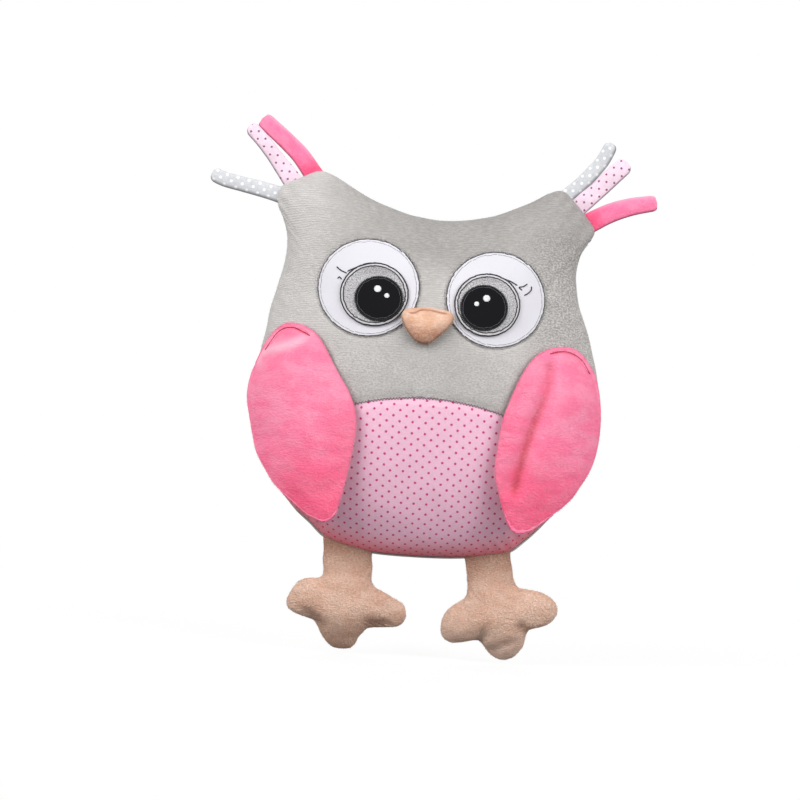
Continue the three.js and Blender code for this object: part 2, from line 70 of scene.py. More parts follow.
# Body: its hub, the belly seam's arc and groove, and how the back's edge shows below the belly:
# how much longer it is than the front's, how far in that starts, and where it fades at its ends
BODY_HUB_SHARE = 0.4
BODY_SECTORS = 480
BODY_RINGS = 64
BELLY_SEAM_RADIUS = 0.139
BELLY_SEAM_VALLEY = 0.0009
BELLY_SEAM_WIDTH = 0.0026
BELLY_SEAM_SHARE = 0.93
BELLY_SEAM_POINTS = 200
FRONT_TURN_IN = 0.0006
BACK_TURN_OUT = 0.0007
EDGE_REACH_SHARE = 0.06
EDGE_BELOW_ARC = (0.02, 0.05)
EDGE_END_SHARE = 0.8
EDGE_END_FADE = 0.01

# Eyes: each round's middle, and half its width and height
EYES = {
    "left": {
        "white": ((-0.036, 0.0534), (0.0278, 0.0268)),
        "iris": ((-0.0326, 0.0497), (0.0187, 0.0174)),
        "pupil": ((-0.0299, 0.0475), (0.013, 0.0121)),
    },
    "right": {
        "white": ((0.0337, 0.0513), (0.0271, 0.0263)),
        "iris": ((0.0292, 0.048), (0.018, 0.0172)),
        "pupil": ((0.0275, 0.0463), (0.0128, 0.0123)),
    },
}

# The felt's thickness and the share of it that is left at a round's edge, how far an eye sinks
# the plush and over what span outside and inside its edge, and the face's pile that stands up
# round it
FELT = 0.0009
FELT_EDGE_SHARE = 0.35
EYE_SINK = 0.0011
EYE_SINK_SPAN = (-0.0025, 0.0008)
EYE_SECTORS = 144
EYE_RINGS = 14
EYE_PILE_OUTSET = 0.0004
EYE_PILE_LIFT = 0.0007

# Beak: how far its skins stand out, and how it leans away from the face
BEAK_FRONT = 0.0085
BEAK_BACK = 0.0024
BEAK_TILT = math.radians(9)
BEAK_SECTORS = 160
BEAK_RINGS = 24

# Wings: how far their skins stand out, and how they leave the body below their seam
WING_FRONT = 0.006
WING_BACK = 0.003
WING_SEAM_TOP_SHARES = (0.69, 1.0)
WING_SEAM_SLOPE = math.radians(21)
WING_GRIP = 0.03
WING_STAND_OFF = 0.002
WING_DRAPE_SHARE = 1.11
WING_SECTORS = 320
WING_RINGS = 36

# Legs: their depth, how flat they are at the hip, how far down from the hip a painted shadow
# below the body reaches, and how their feet swell and curl
LEG_DEPTH = 0.017
HIP_FLAT_SHARE = 0.3
HIP_TAPER = 0.022
HIP_SHADE = 0.024
HIP_BARE_SHARE = 0.25
FOOT_CURLS = {"left": 0.0055, "right": 0.0022}
FOOT_CURL_SHARE = 0.42
FOOT_SWELL = 0.003
FOOT_SWELL_MARGIN = 0.012
LEG_SECTORS = 280
LEG_RINGS = 28

# Ribbons: their thickness, pressed flat at the root, and the widths of the painted shade along
# their lower edge and of the painted highlight along their upper edge
RIBBON_THICKNESS = 0.0034
RIBBON_ROOT_THICKNESS = 0.0012
RIBBON_ROOT = 0.008
RIBBON_WAVE = 0.0004
RIBBON_EDGE_SHADE = 0.0007
RIBBON_HIGHLIGHT = 0.0014
RIBBON_STATIONS = 72
RIBBON_SIDES = 40
PRINT_SHIFT = 0.0016

# The photograph's camera
PHOTO_PIXELS = 800
PHOTO_ORIGIN = (427.2, 389.7)
PHOTO_ROLL = math.radians(3.9)
CAMERA_DISTANCE = 1.5
CAMERA_LENS = 121.5
CAMERA_SENSOR = 36.0

# Studio: the floor, the light all round, and each lamp's place and power
FLOOR_REACH = 1.2
FLOOR_FADE = (0.1, 0.6)
FLOOR_GLOW = 0.88
WORLD_STRENGTH = 0.34
LAMP_SIZE = 1.3
LAMPS = {
    "key": ((-1.08, -0.96, 0.74), 21),
    "fill": ((1.08, -0.96, 0.66), 18.6),
    "back_left": ((-0.6, 1.75, 0.7), 16),
    "back_right": ((0.6, 1.75, 0.7), 15),
}

# The pile past the seams: short spikes of fibres, how far they lean and stray, in radians and as
# a share of their length, and how strong the painted highlight at their tips is
FRINGE_SPACING = 0.00022
FRINGE_RADIUS = 0.00013
FRINGE_LEAN = 0.45
FRINGE_STRAY = 0.4
FRINGE_TIP_HIGHLIGHT = 0.9

# The pile on the skins: its streaks' bends, the span of each noise from its low to its high side,
# the knit's rows below the pile, the nubs where it is ruffled, how much darker ruffled pile is,
# the painted shade at the seams, and the grain of the pile's relief
STREAK_BEND = 0.003
STREAK_BEND_GRAIN = (0.02, 0.02)
STREAK_SPAN = (0.37, 0.63)
DASH_SPAN = (0.42, 0.6)
NUB_SPAN = (0.38, 0.58)
PATCH_SPAN = (0.36, 0.64)
BLOTCH_SPAN = (0.36, 0.6)
KNIT_ROW = 0.0013
NUB = 0.0011
RUFFLED_CONTRAST = 0.46
BLOTCH_SHADE = 0.13
GROOVE_WIDTH = 0.0016
GROOVE_SHADE = 0.25
PILE_GRAIN = 0.0016
PILE_STRETCH = 0.45
BACK_PILE = 0.00016

# Woven cotton: the pitch of its threads, its slubs, and how ragged its printed dots are
WEAVE_PITCH = 0.00055
SLUB_GRAIN = (0.0021, 0.0015)
PRINT_RAGGED = 0.0005
COTTON_RELIEF = 0.00012

# Felt, and the strip of backing that shows at the iris's edge: where it starts and ends
FELT_RELIEF = 0.0001
RIM_SPAN = (0.0021, 0.0017)

# The face's painted shades and ruffled pile: where each area starts and where it is full, across
# or up; and the painted shadow below the beak: how far below its edge it lies, and how wide
FACE_MIDDLE_ACROSS = (-0.05, 0.0)
FACE_RIGHT_ACROSS = (0.01, 0.06)
FACE_RIGHT_UP = (0.07, 0.1)
FACE_BROW_ACROSS = (-0.078, -0.04)
FACE_BROW_UP = (0.05, 0.08)
FACE_LOW_UP = (0.04, 0.01)
FACE_RUFFLED_ACROSS = (0.03, 0.065)
FACE_RUFFLED_UP = (0.105, 0.08)
BEAK_SHADE_DROP = 0.001
BEAK_SHADE_WIDTH = 0.0022

# Fillings and cloth forms use every fourth ring and sector
COARSE = 4

# How far off the rays start that look for a surface
RAY_START = 0.5

# Where a limb's fabric starts to turn and where it has turned, along it from its joint
BENDS = {"wing": (0.0, 0.01), "leg": (0.0, 0.012), "tuft": (-0.0005, 0.007)}

# Cloth simulation: the solver suits things of about a metre, so forms are scaled up for it. Each
# part has its cloth's grain, and the farthest that a spot may move.
CLOTH_SCALE = 10.0
CLOTH_FRAMES = 20
CLOTH_START = 0.9
CLOTH_SLACK = 0.02
CLOTH_PRESSURE = 4.0
BODY_CLOTH = (0.005, 0.003)
BEAK_CLOTH = (0.0015, 0.0006)
LIMB_CLOTH = (0.003, 0.0015)

# Soft lumps in a stuffing: how high they stand, their grain and their seed
FRONT_LUMPS = (0.0011, 0.034, 3.1)
FRONT_SMALL_LUMPS = (0.0005, 0.015, 8.7)
BACK_LUMPS = (0.0012, 0.036, 21.0)
BEAK_LUMPS = (0.0005, 0.009, 5.5)
WING_LUMPS = {"left": (0.0011, 0.022, 4.0), "right": (0.0011, 0.022, 6.0)}
LEG_LUMPS = {"left": (0.0008, 0.014, 10.0), "right": (0.0008, 0.014, 12.0)}

# Gathers at a seam: how deep they are, how far apart, how far in they reach, and their seed
FRONT_GATHERS = (0.0007, 0.0085, 0.009, 1.3)
BACK_GATHERS = (0.0006, 0.009, 0.009, 4.2)
BEAK_GATHERS = (0.0003, 0.004, 0.004, 2.0)
WING_GATHERS = (0.0002, 0.006, 0.006, 3.0)
LEG_GATHERS = {"front": (0.0003, 0.006, 0.005, 7.0), "back": (0.0003, 0.006, 0.005, 9.0)}

# A crease: how wide it is, the share of its length over which it fades out at each end, and how
# far it moves the skin. A painted shade goes along each crease but the right wing's valley, a
# painted highlight along the left wing's fold instead, and the right wing's line is a painted
# shade only.
Crease = namedtuple("Crease", "width fade depth")

BEAK_CREASE = Crease(0.0005, 0.15, 0.0011)
WING_TACK = Crease(0.0007, 0.12, 0.0019)
RIGHT_WING_VALLEY = Crease(0.0047, 0.12, 0.004)
RIGHT_WING_VALLEY_BACK = 0.0018
RIGHT_WING_LINE = Crease(0.0025, 0.09, 0.0)
LEFT_WING_FOLD = Crease(0.0027, 0.25, 0.0015)
FOOT_CREASE = Crease(0.0026, 0.4, 0.0015)

# The wings' painted shades and ruffled pile: where each starts and where it is full, from the
# tip, across or up
WING_TIP_SHADE = (0.065, 0.008)
WING_RUFFLED_ACROSS = (0.03, 0.09)
RIGHT_WING_FAINT_UP = (-0.02, 0.015)
RIGHT_WING_SHADE_ACROSS = (0.062, 0.046)
LEFT_WING_SHADE_ACROSS = (-0.066, -0.042)
LEFT_WING_SHADE_UP = (0.0, -0.03)

# The beak's pile: where its tip's ruffled share and painted shade and its edge's painted shade
# start, below its top
BEAK_TIP_BELOW = (0.007, 0.016)
BEAK_EDGE_BELOW = (0.003, 0.009)
BEAK_EDGE_WIDTH = 0.0009
BEAK_PILE_BELOW = 0.006

SIDES = {"left": -1, "right": 1}

# Half outlines from the middle of the bottom seam round to the middle of the brow, as shares of
# half the body's width and of its height. The two ears aren't mirror images.
FLANK_SHARES = [(0.727, 0.109), (0.869, 0.186), (0.958, 0.271), (0.998, 0.367), (0.999, 0.448)]
BODY_SHARES = {
    "right": [
        (0, 0), (0.262, 0.005), (0.429, 0.016), (0.541, 0.029), (0.615, 0.057), *FLANK_SHARES,
        (0.971, 0.521), (0.942, 0.568), (0.913, 0.613), (0.88, 0.652), (0.846, 0.692),
        (0.826, 0.735), (0.817, 0.78), (0.838, 0.829), (0.876, 0.86), (0.908, 0.892),
        (0.864, 0.925), (0.8, 0.957), (0.706, 0.994), (0.628, 0.985), (0.544, 0.962),
        (0.437, 0.938), (0.33, 0.917), (0.218, 0.904), (0.106, 0.896), (0, 0.894),
    ],
    "left": [
        (0, 0), (0.261, 0.003), (0.406, 0.015), (0.54, 0.037), (0.628, 0.072), *FLANK_SHARES,
        (0.979, 0.522), (0.957, 0.573), (0.942, 0.627), (0.921, 0.667), (0.899, 0.708),
        (0.878, 0.75), (0.868, 0.791), (0.873, 0.831), (0.9, 0.871), (0.938, 0.912),
        (0.921, 0.957), (0.815, 0.983), (0.707, 1.004), (0.624, 0.994), (0.509, 0.965),
        (0.395, 0.938), (0.281, 0.919), (0.169, 0.904), (0.051, 0.896), (0, 0.894),
    ],
}

# Outlines as shares of the CAD piece's box, counted from its inner lower corner
WING_SHARES = {
    "right": [
        (0.402, 0.96), (0.495, 0.978), (0.59, 0.984), (0.669, 0.978), (0.752, 0.95),
        (0.819, 0.905), (0.872, 0.86), (0.911, 0.796), (0.94, 0.718), (0.957, 0.627),
        (0.956, 0.534), (0.934, 0.441), (0.884, 0.35), (0.81, 0.275), (0.734, 0.207),
        (0.646, 0.156), (0.555, 0.114), (0.454, 0.065), (0.363, 0.03), (0.27, 0.014),
        (0.198, 0.025), (0.118, 0.1), (0.081, 0.158), (0.043, 0.228), (0.009, 0.292),
        (-0.001, 0.344), (0.009, 0.409), (0.033, 0.547), (0.054, 0.613), (0.088, 0.673),
        (0.163, 0.787), (0.214, 0.847), (0.268, 0.895), (0.323, 0.93),
    ],
    "left": [
        (0.664, 1.014), (0.525, 1.004), (0.402, 0.965), (0.317, 0.907), (0.229, 0.824),
        (0.142, 0.748), (0.055, 0.673), (-0.007, 0.589), (-0.026, 0.518), (-0.019, 0.432),
        (0.006, 0.323), (0.042, 0.2), (0.087, 0.091), (0.108, 0.047), (0.156, 0.02),
        (0.219, 0.006), (0.285, 0.018), (0.38, 0.042), (0.49, 0.088), (0.614, 0.14),
        (0.713, 0.193), (0.773, 0.241), (0.878, 0.337), (0.922, 0.415), (0.97, 0.522),
        (1.002, 0.608), (1.002, 0.666), (0.978, 0.747), (0.938, 0.807), (0.869, 0.903),
        (0.821, 0.948), (0.753, 0.99),
    ],
}
WING_HUB_SHARES = (0.47, 0.52)
WING_STITCH_SHARES = {
    "right": [
        (0.446, 0.943), (0.522, 0.957), (0.605, 0.96), (0.692, 0.945), (0.756, 0.92),
        (0.79, 0.895), (0.836, 0.854),
    ],
    "left": [
        (0.868, 0.868), (0.824, 0.912), (0.769, 0.957), (0.707, 0.983), (0.616, 0.99),
        (0.535, 0.974), (0.453, 0.952),
    ],
}
WING_FOLD_SHARES = {
    "right": [
        (0.446, 0.935), (0.446, 0.843), (0.434, 0.751), (0.341, 0.591), (0.262, 0.431),
        (0.21, 0.28), (0.19, 0.17),
    ],
    "left": [
        (0.9, 0.73), (0.935, 0.79), (0.92, 0.838), (0.845, 0.862), (0.708, 0.888),
        (0.579, 0.916), (0.478, 0.943), (0.39, 0.962),
    ],
}
LEG_SHARES = {
    "right": [
        (0.193, 1.02), (0.211, 0.859), (0.225, 0.761), (0.236, 0.662), (0.225, 0.579),
        (0.182, 0.534), (0.124, 0.488), (0.067, 0.426), (0.038, 0.35), (0.032, 0.258),
        (0.047, 0.201), (0.084, 0.163), (0.13, 0.143), (0.198, 0.15), (0.273, 0.168),
        (0.341, 0.182), (0.371, 0.174), (0.404, 0.137), (0.446, 0.082), (0.502, 0.036),
        (0.564, 0.016), (0.624, 0.025), (0.675, 0.057), (0.717, 0.11), (0.744, 0.162),
        (0.761, 0.263), (0.781, 0.307), (0.818, 0.325), (0.885, 0.346), (0.951, 0.384),
        (0.993, 0.437), (1.012, 0.488), (1.005, 0.546), (0.967, 0.601), (0.904, 0.646),
        (0.826, 0.673), (0.734, 0.683), (0.673, 0.695), (0.641, 0.725), (0.618, 0.782),
        (0.606, 0.855), (0.585, 0.953), (0.558, 1.09), (0.37, 1.11),
    ],
    "left": [
        (0.7, 1.1), (0.704, 0.919), (0.704, 0.815), (0.694, 0.755), (0.7, 0.693),
        (0.726, 0.669), (0.813, 0.659), (0.856, 0.645), (0.898, 0.618), (0.934, 0.563),
        (0.969, 0.491), (0.982, 0.438), (0.971, 0.386), (0.928, 0.346), (0.871, 0.32),
        (0.79, 0.295), (0.746, 0.277), (0.715, 0.231), (0.688, 0.172), (0.652, 0.114),
        (0.618, 0.073), (0.576, 0.042), (0.504, 0.031), (0.426, 0.046), (0.389, 0.09),
        (0.369, 0.144), (0.339, 0.185), (0.303, 0.232), (0.248, 0.247), (0.153, 0.256),
        (0.059, 0.27), (0.013, 0.301), (-0.011, 0.355), (-0.012, 0.399), (0.008, 0.467),
        (0.058, 0.507), (0.115, 0.537), (0.189, 0.579), (0.255, 0.614), (0.283, 0.655),
        (0.293, 0.715), (0.29, 0.802), (0.301, 0.871), (0.315, 1.03), (0.5, 1.1),
    ],
}
FOOT_CREASE_SHARES = {
    "right": [
        [(0.34, 0.02), (0.362, 0.15), (0.385, 0.24), (0.39, 0.36)],
        [(0.35, 0.14), (0.44, 0.105), (0.523, 0.134), (0.61, 0.178), (0.75, 0.22)],
        [(0.64, 0.4), (0.735, 0.32), (0.81, 0.22)],
    ],
    "left": [
        [(0.92, 0.43), (0.79, 0.35), (0.7, 0.28), (0.62, 0.18)],
        [(0.36, 0.22), (0.314, 0.28), (0.2, 0.3), (0.06, 0.3)],
    ],
}
LEG_HUB_SHARES = {"right": (0.45, 0.42), "left": (0.49, 0.42)}
BEAK_SHARES = [
    (-0.108, 0.72), (-0.041, 0.857), (0.153, 0.923), (0.408, 0.952), (0.696, 0.913),
    (0.85, 0.86), (0.905, 0.7), (0.853, 0.5), (0.7, 0.25), (0.558, 0.059), (0.474, -0.034),
    (0.347, -0.064), (0.2, 0), (0.048, 0.223), (-0.068, 0.482),
]
BEAK_CREASE_SHARES = [
    (-0.03, 0.79), (0.091, 0.761), (0.178, 0.795), (0.234, 0.85), (0.35, 0.88), (0.509, 0.862),
    (0.65, 0.82), (0.86, 0.808),
]
BEAK_HUB_SHARES = (0.4, 0.52)

bpy.context.scene.view_settings.view_transform = "Standard"
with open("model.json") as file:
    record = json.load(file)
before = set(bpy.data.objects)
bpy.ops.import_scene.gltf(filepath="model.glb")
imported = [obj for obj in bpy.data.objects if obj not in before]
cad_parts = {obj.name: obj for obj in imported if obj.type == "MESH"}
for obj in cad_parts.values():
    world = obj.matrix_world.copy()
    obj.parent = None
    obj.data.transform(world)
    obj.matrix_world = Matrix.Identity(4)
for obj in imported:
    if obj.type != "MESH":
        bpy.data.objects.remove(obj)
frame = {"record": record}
cad_bounds = [list(corner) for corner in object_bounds()]


# Shader building

class Wire:
    """A node's output that Python's operators work on: each operation adds a Math node."""

    def __init__(self, finish, socket):
        self.finish = finish
        self.socket = socket

    def math(self, operation, *others):
        return self.finish.math(operation, self, *others)

    def __add__(self, other):
        return self.math("ADD", other)

    def __sub__(self, other):
        return self.math("SUBTRACT", other)

    def __rsub__(self, other):
        return self.finish.math("SUBTRACT", other, self)

    def __mul__(self, other):
        return self.math("MULTIPLY", other)

    def __truediv__(self, other):
        return self.math("DIVIDE", other)

    def __pow__(self, other):
        return self.math("POWER", other)

    __radd__ = __add__
    __rmul__ = __mul__

    def wrapped(self, pitch):
        """Distance to the nearest multiple of the pitch."""
        return self.math("WRAP", pitch / 2, -pitch / 2).math("ABSOLUTE")

    def step(self, low, high):
        """0 below low and 1 above high, smooth between them; low may be the greater."""
        sockets = {"Value": self, "From Min": low, "From Max": high}
        settings = {"interpolation_type": "SMOOTHSTEP"}
        return self.finish.node("ShaderNodeMapRange", settings, sockets)


class Finish:
    """One procedural material, built round a Principled shader, or the world's shading."""

    def __init__(self, name, kind="materials"):
        self.material = getattr(bpy.data, kind).new(name)
        self.material.use_nodes = True
        self.tree = self.material.node_tree
        self.tree.nodes.clear()

    def node(self, kind, settings, sockets, output=0):
        made = self.tree.nodes.new(kind)
        for key, value in settings.items():
            setattr(made, key, value)
        for place, value in sockets.items():
            if isinstance(value, Wire):
                self.tree.links.new(value.socket, made.inputs[place])
            else:
                made.inputs[place].default_value = value
        return Wire(self, made.outputs[output]) if made.outputs else made

    def math(self, operation, *values):
        return self.node("ShaderNodeMath", {"operation": operation}, dict(enumerate(values)))

    def triple(self, name):
        """The three numbers that a mesh keeps at each spot under a name."""
        values = self.node("ShaderNodeAttribute", {"attribute_name": name}, {}, output="Vector")
        axes = self.tree.nodes.new("ShaderNodeSeparateXYZ")
        self.tree.links.new(values.socket, axes.inputs[0])
        return [Wire(self, socket) for socket in axes.outputs]

    def cloth(self):
        """Where a spot lies on the flat cloth: across, up, and its distance from the seam."""
        return self.triple("cloth")

    def noise(self, across, up, grain, detail=2.0, roughness=0.5, seed=0.0):
        """Noise from 0 to 1, with lumps of the grain's size across and up."""
        spot = {"X": across / grain[0], "Y": up / grain[1], "Z": seed}
        spot = self.node("ShaderNodeCombineXYZ", {}, spot)
        sockets = {"Vector": spot, "Scale": 1.0, "Detail": detail, "Roughness": roughness}
        return self.node("ShaderNodeTexNoise", {"noise_dimensions": "3D"}, sockets)

    def blend(self, factor, first, second):
        """A colour between two colours."""
        settings = {"data_type": "RGBA"}
        return self.node("ShaderNodeMix", settings, {0: factor, 6: first, 7: second}, output=2)

    def surface(self, sockets, height, bump_distance):
        """The Principled shader with a relief."""
        relief = {"Height": height, "Distance": bump_distance, "Strength": 1.0}
        sockets = {**sockets, "Normal": self.node("ShaderNodeBump", {}, relief)}
        return self.finished(self.node("ShaderNodeBsdfPrincipled", {}, sockets))

    def finished(self, shader, output="ShaderNodeOutputMaterial"):
        self.node(output, {}, {"Surface": shader})
        return self.material


def tone(red, green, blue):
    """A photographed 8-bit colour as Blender's linear one."""
    def linear(level):
        share = level / 255
        return share / 12.92 if share <= 0.04045 else ((share + 0.055) / 1.055) ** 2.4

    return (linear(red), linear(green), linear(blue), 1.0)


def tones(colours):
    return [tone(*colour) for colour in colours]


def plush(name, colours, nap, grain, relief, contrast, rows=0.0):
    """Short pile in five colours, (lit, brushed, deep, crease, pale): streaks of the grain's size
    along the nap, patches that were brushed the other way, and a painted shade at the seams. The
    deep colour is the pile's dark side and also the colour of painted shade; crease is a painted
    shade for creases, and pale a painted highlight. The mesh's attribute "pile" says how far each
    spot takes the painted shade, the painted crease shade and the painted highlight, and "ruffled"
    how far the streaks give way to standing nubs. rows is how clearly the knit's rows show through
    the pile."""
    lit, brushed, deep, crease, pale = tones(colours)
    finish = Finish(name)
    across, up, from_seam = finish.cloth()
    to_shade, to_crease_shade, to_highlight = finish.triple("pile")
    ruffled = finish.node("ShaderNodeAttribute", {"attribute_name": "ruffled"}, {}, output="Fac")
    streak_long, streak_wide = grain
    fibre_grain = (streak_long * 0.3, streak_wide * 0.45)
    patch_grain = (nap, nap * 0.7)
    dash_grain = (streak_long * 0.5, KNIT_ROW)
    nub_grain = (NUB * 1.25, NUB * 0.72)
    blotch_grain = (NUB * 6, NUB * 5)

    bend = finish.noise(across, up, STREAK_BEND_GRAIN, detail=1.0, seed=11.0) - 0.5
    bent_up = up + bend * STREAK_BEND
    streaks = finish.noise(across, bent_up, grain)
    fibres = finish.noise(across, up, fibre_grain, seed=3.0)
    dashes = finish.noise(across, up, dash_grain, detail=1.5, seed=19.0).step(*DASH_SPAN)
    row = (bent_up * (2 * math.pi / KNIT_ROW)).math("SINE") * dashes * (0.45 - to_shade) * rows
    combed = (streaks * 0.6 + fibres * 0.4 + row).step(*STREAK_SPAN)
    nubs = finish.noise(across, up, nub_grain, detail=3.0, roughness=0.68, seed=17.0).step(*NUB_SPAN)
    pile = combed + (nubs - combed) * ruffled

    patches = finish.noise(across, up, patch_grain, detail=2.5, roughness=0.55, seed=7.0)
    blotches = finish.noise(across, up, blotch_grain, seed=23.0).step(*BLOTCH_SPAN)
    shade = finish.blend(patches.step(*PATCH_SPAN), brushed, lit)
    shade = finish.blend((1 - pile) * (ruffled * RUFFLED_CONTRAST + contrast), shade, deep)
    shade = finish.blend((1 - blotches) * ruffled * BLOTCH_SHADE, shade, deep)
    # A painted shade darkens the seams, and the mesh's painted shade, painted crease shade and painted
    # highlight are laid over the pile
    groove = from_seam.step(GROOVE_WIDTH, 0.0) * GROOVE_SHADE
    shade = finish.blend(groove.math("MAXIMUM", to_shade * (1.15 - pile * 0.3)), shade, deep)
    shade = finish.blend(to_crease_shade * (1.15 - pile * 0.3), shade, crease)
    shade = finish.blend(to_highlight * (1.2 - pile * 0.4), shade, pale)
    sockets = {
        "Base Color": shade,
        "Roughness": 0.92,
        "Specular IOR Level": 0.1,
        "Sheen Weight": 0.1,
        "Sheen Roughness": 0.4,
        "Sheen Tint": lit,
    }
    return finish.surface(sockets, pile + fibres * 0.5, relief)


def cotton(name, colours, pitch, dot_radius, shade_reach, shade_strength, shade_span=None):
    """Printed cotton in four colours, (ground, mottle, dot, edge_shade): staggered rows of dots on a
    fine weave, and a painted shade that deepens towards the sewn edge. shade_span is the height on
    the cloth where that painted shade starts and the height where it is full; without it, it runs
    all round."""
    ground, mottle, dot, edge_shade = tones(colours)
    finish = Finish(name)
    across, up, from_seam = finish.cloth()
    ragged = finish.noise(across, up, (PRINT_RAGGED, PRINT_RAGGED), detail=1.0) - 0.5
    reaches = []
    for shift in (0, 0.5):
        aside = (across + shift * pitch[0]).wrapped(pitch[0])
        above = (up + shift * pitch[1]).wrapped(pitch[1])
        reaches.append((aside * aside + above * above) ** 0.5)
    reach = reaches[0].math("MINIMUM", reaches[1]) + ragged * PRINT_RAGGED
    printed = reach.step(dot_radius * 1.25, dot_radius * 0.75)
    weft, warp = [(way * (2 * math.pi / WEAVE_PITCH)).math("SINE") for way in (across, up)]
    weave = weft * warp
    slub = finish.noise(across, up, SLUB_GRAIN, detail=4.0, roughness=0.75, seed=2.0)
    ground_shade = finish.blend((slub * 0.8 + weave * 0.1 + 0.1).step(0.32, 0.68), mottle, ground)
    shade = finish.blend(printed, ground_shade, dot)
    shade_share = from_seam.step(shade_reach, 0.0) * shade_strength
    if shade_span is not None:
        shade_share = shade_share * up.step(*shade_span)
    shade = finish.blend(shade_share, shade, edge_shade)
    sockets = {
        "Base Color": shade,
        "Roughness": 0.85,
        "Specular IOR Level": 0.2,
        "Sheen Weight": 0.06,
        "Sheen Roughness": 0.5,
    }
    return finish.surface(sockets, weave * 0.5 + slub, COTTON_RELIEF)


def felt(name, colours, grain, contrast, roughness, rim=None, shaded=None):
    """A close fabric with no nap in two colours, (light, dark), flecked at the grain's size. The
    rim is the paler strip of backing that shows between the two rows of stitches at an edge.
    shaded is a painted shade towards the top: the height on the cloth where it starts, the height
    where it is darkest, and how dark it is there."""
    light, dark = tones(colours)
    finish = Finish(name)
    across, up, from_seam = finish.cloth()
    fleck = finish.noise(across, up, (grain, grain), detail=3.0, roughness=0.75)
    weave = finish.noise(across, up, (grain * 0.4, grain * 3), detail=1.0, seed=5.0)
    shade = finish.blend((fleck * 0.8 + weave * 0.2).step(0.5 - contrast, 0.5 + contrast), dark, light)
    if shaded is not None:
        start, end, depth = shaded
        shade = finish.blend(up.step(start, end) * depth, shade, dark)
    if rim is not None:
        shade = finish.blend(from_seam.step(*RIM_SPAN), shade, tone(*rim))
    sockets = {"Base Color": shade, "Roughness": roughness, "Specular IOR Level": 0.2}
    return finish.surface(sockets, fleck + weave * 0.5, FELT_RELIEF)


def loose_fibres(name, light, dark, contrast, fibre, relief, looks):
    """Fibres in two colours: noise with the sockets of fibre, in a shader with those of looks."""
    finish = Finish(name)
    place = finish.node("ShaderNodeTexCoord", {}, {}, output="Object")
    tangle = finish.node("ShaderNodeTexNoise", {}, {"Vector": place, **fibre})
    shade = finish.blend(tangle.step(0.5 - contrast, 0.5 + contrast), tone(*dark), tone(*light))
    return finish.surface({"Base Color": shade, **looks}, tangle, relief)


def thread(name, light, dark):
    """Twisted thread, seen too small for its twist to be more than a flicker."""
    fibre = {"Scale": 2500.0, "Detail": 1.0}
    looks = {"Roughness": 0.6, "Sheen Weight": 0.1}
    return loose_fibres(name, light, dark, contrast=0.15, fibre=fibre, relief=0.0001, looks=looks)


def wadding(name, light, dark):
    fibre = {"Scale": 220.0, "Detail": 5.0, "Roughness": 0.7}
    looks = {"Roughness": 1.0}
    return loose_fibres(name, light, dark, contrast=0.2, fibre=fibre, relief=0.0006, looks=looks)


# Each plush's last three colours: the pile's dark side, which is also the colour of painted shade, a
# painted shade for creases, and a painted highlight
GREY_PLUSH = plush(
    "grey_plush",
    [(212, 209, 206), (204, 201, 198), (133, 129, 127), (104, 100, 98), (222, 219, 218)],
    nap=0.026, grain=(0.0036, 0.0009), relief=0.0002, contrast=0.22, rows=0.6,
)
PINK_PLUSH = plush(
    "pink_plush",
    [(252, 157, 187), (252, 137, 172), (254, 58, 104), (196, 70, 78), (255, 206, 222)],
    nap=0.015, grain=(0.0019, 0.0011), relief=0.00022, contrast=0.15,
)
BEIGE_PLUSH = plush(
    "beige_plush",
    [(255, 218, 196), (247, 203, 179), (134, 90, 66), (88, 62, 50), (246, 220, 204)],
    nap=0.012, grain=(0.0012, 0.0011), relief=0.0005, contrast=0.14,
)
PEACH_VELOUR = plush(
    "peach_velour",
    [(240, 204, 180), (228, 182, 154), (176, 108, 80), (92, 50, 36), (253, 230, 212)],
    nap=0.01, grain=(0.0022, 0.0008), relief=0.00015, contrast=0.24,
)
PINK_VELOUR = plush(
    "pink_velour",
    [(255, 152, 188), (255, 130, 172), (250, 50, 102), (120, 70, 86), (255, 200, 220)],
    nap=0.012, grain=(0.0018, 0.0007), relief=0.00015, contrast=0.18,
)
# Each cotton's last colour is a painted shade: low on the belly, and along a ribbon's lower edge
DOTTED_COTTON = cotton(
    "dotted_cotton",
    [(255, 202, 229), (240, 193, 211), (210, 70, 128), (248, 50, 44)],
    pitch=(0.0071, 0.0061), dot_radius=0.00072, shade_reach=0.024, shade_strength=0.6,
    shade_span=(-0.05, -0.08),
)
DOTTED_RIBBON = cotton(
    "dotted_ribbon",
    [(251, 228, 242), (243, 214, 231), (150, 82, 120), (104, 78, 96)],
    pitch=(0.0056, 0.0065), dot_radius=0.0006, shade_reach=0.0014, shade_strength=0.75,
)
GREY_RIBBON = cotton(
    "grey_ribbon",
    [(222, 223, 226), (204, 206, 210), (252, 252, 253), (96, 94, 102)],
    pitch=(0.0063, 0.0056), dot_radius=0.00085, shade_reach=0.0022, shade_strength=0.7,
)
WHITE_FELT = felt(
    "white_felt", [(221, 220, 225), (214, 212, 219)], grain=0.0006, contrast=0.3, roughness=0.85
)
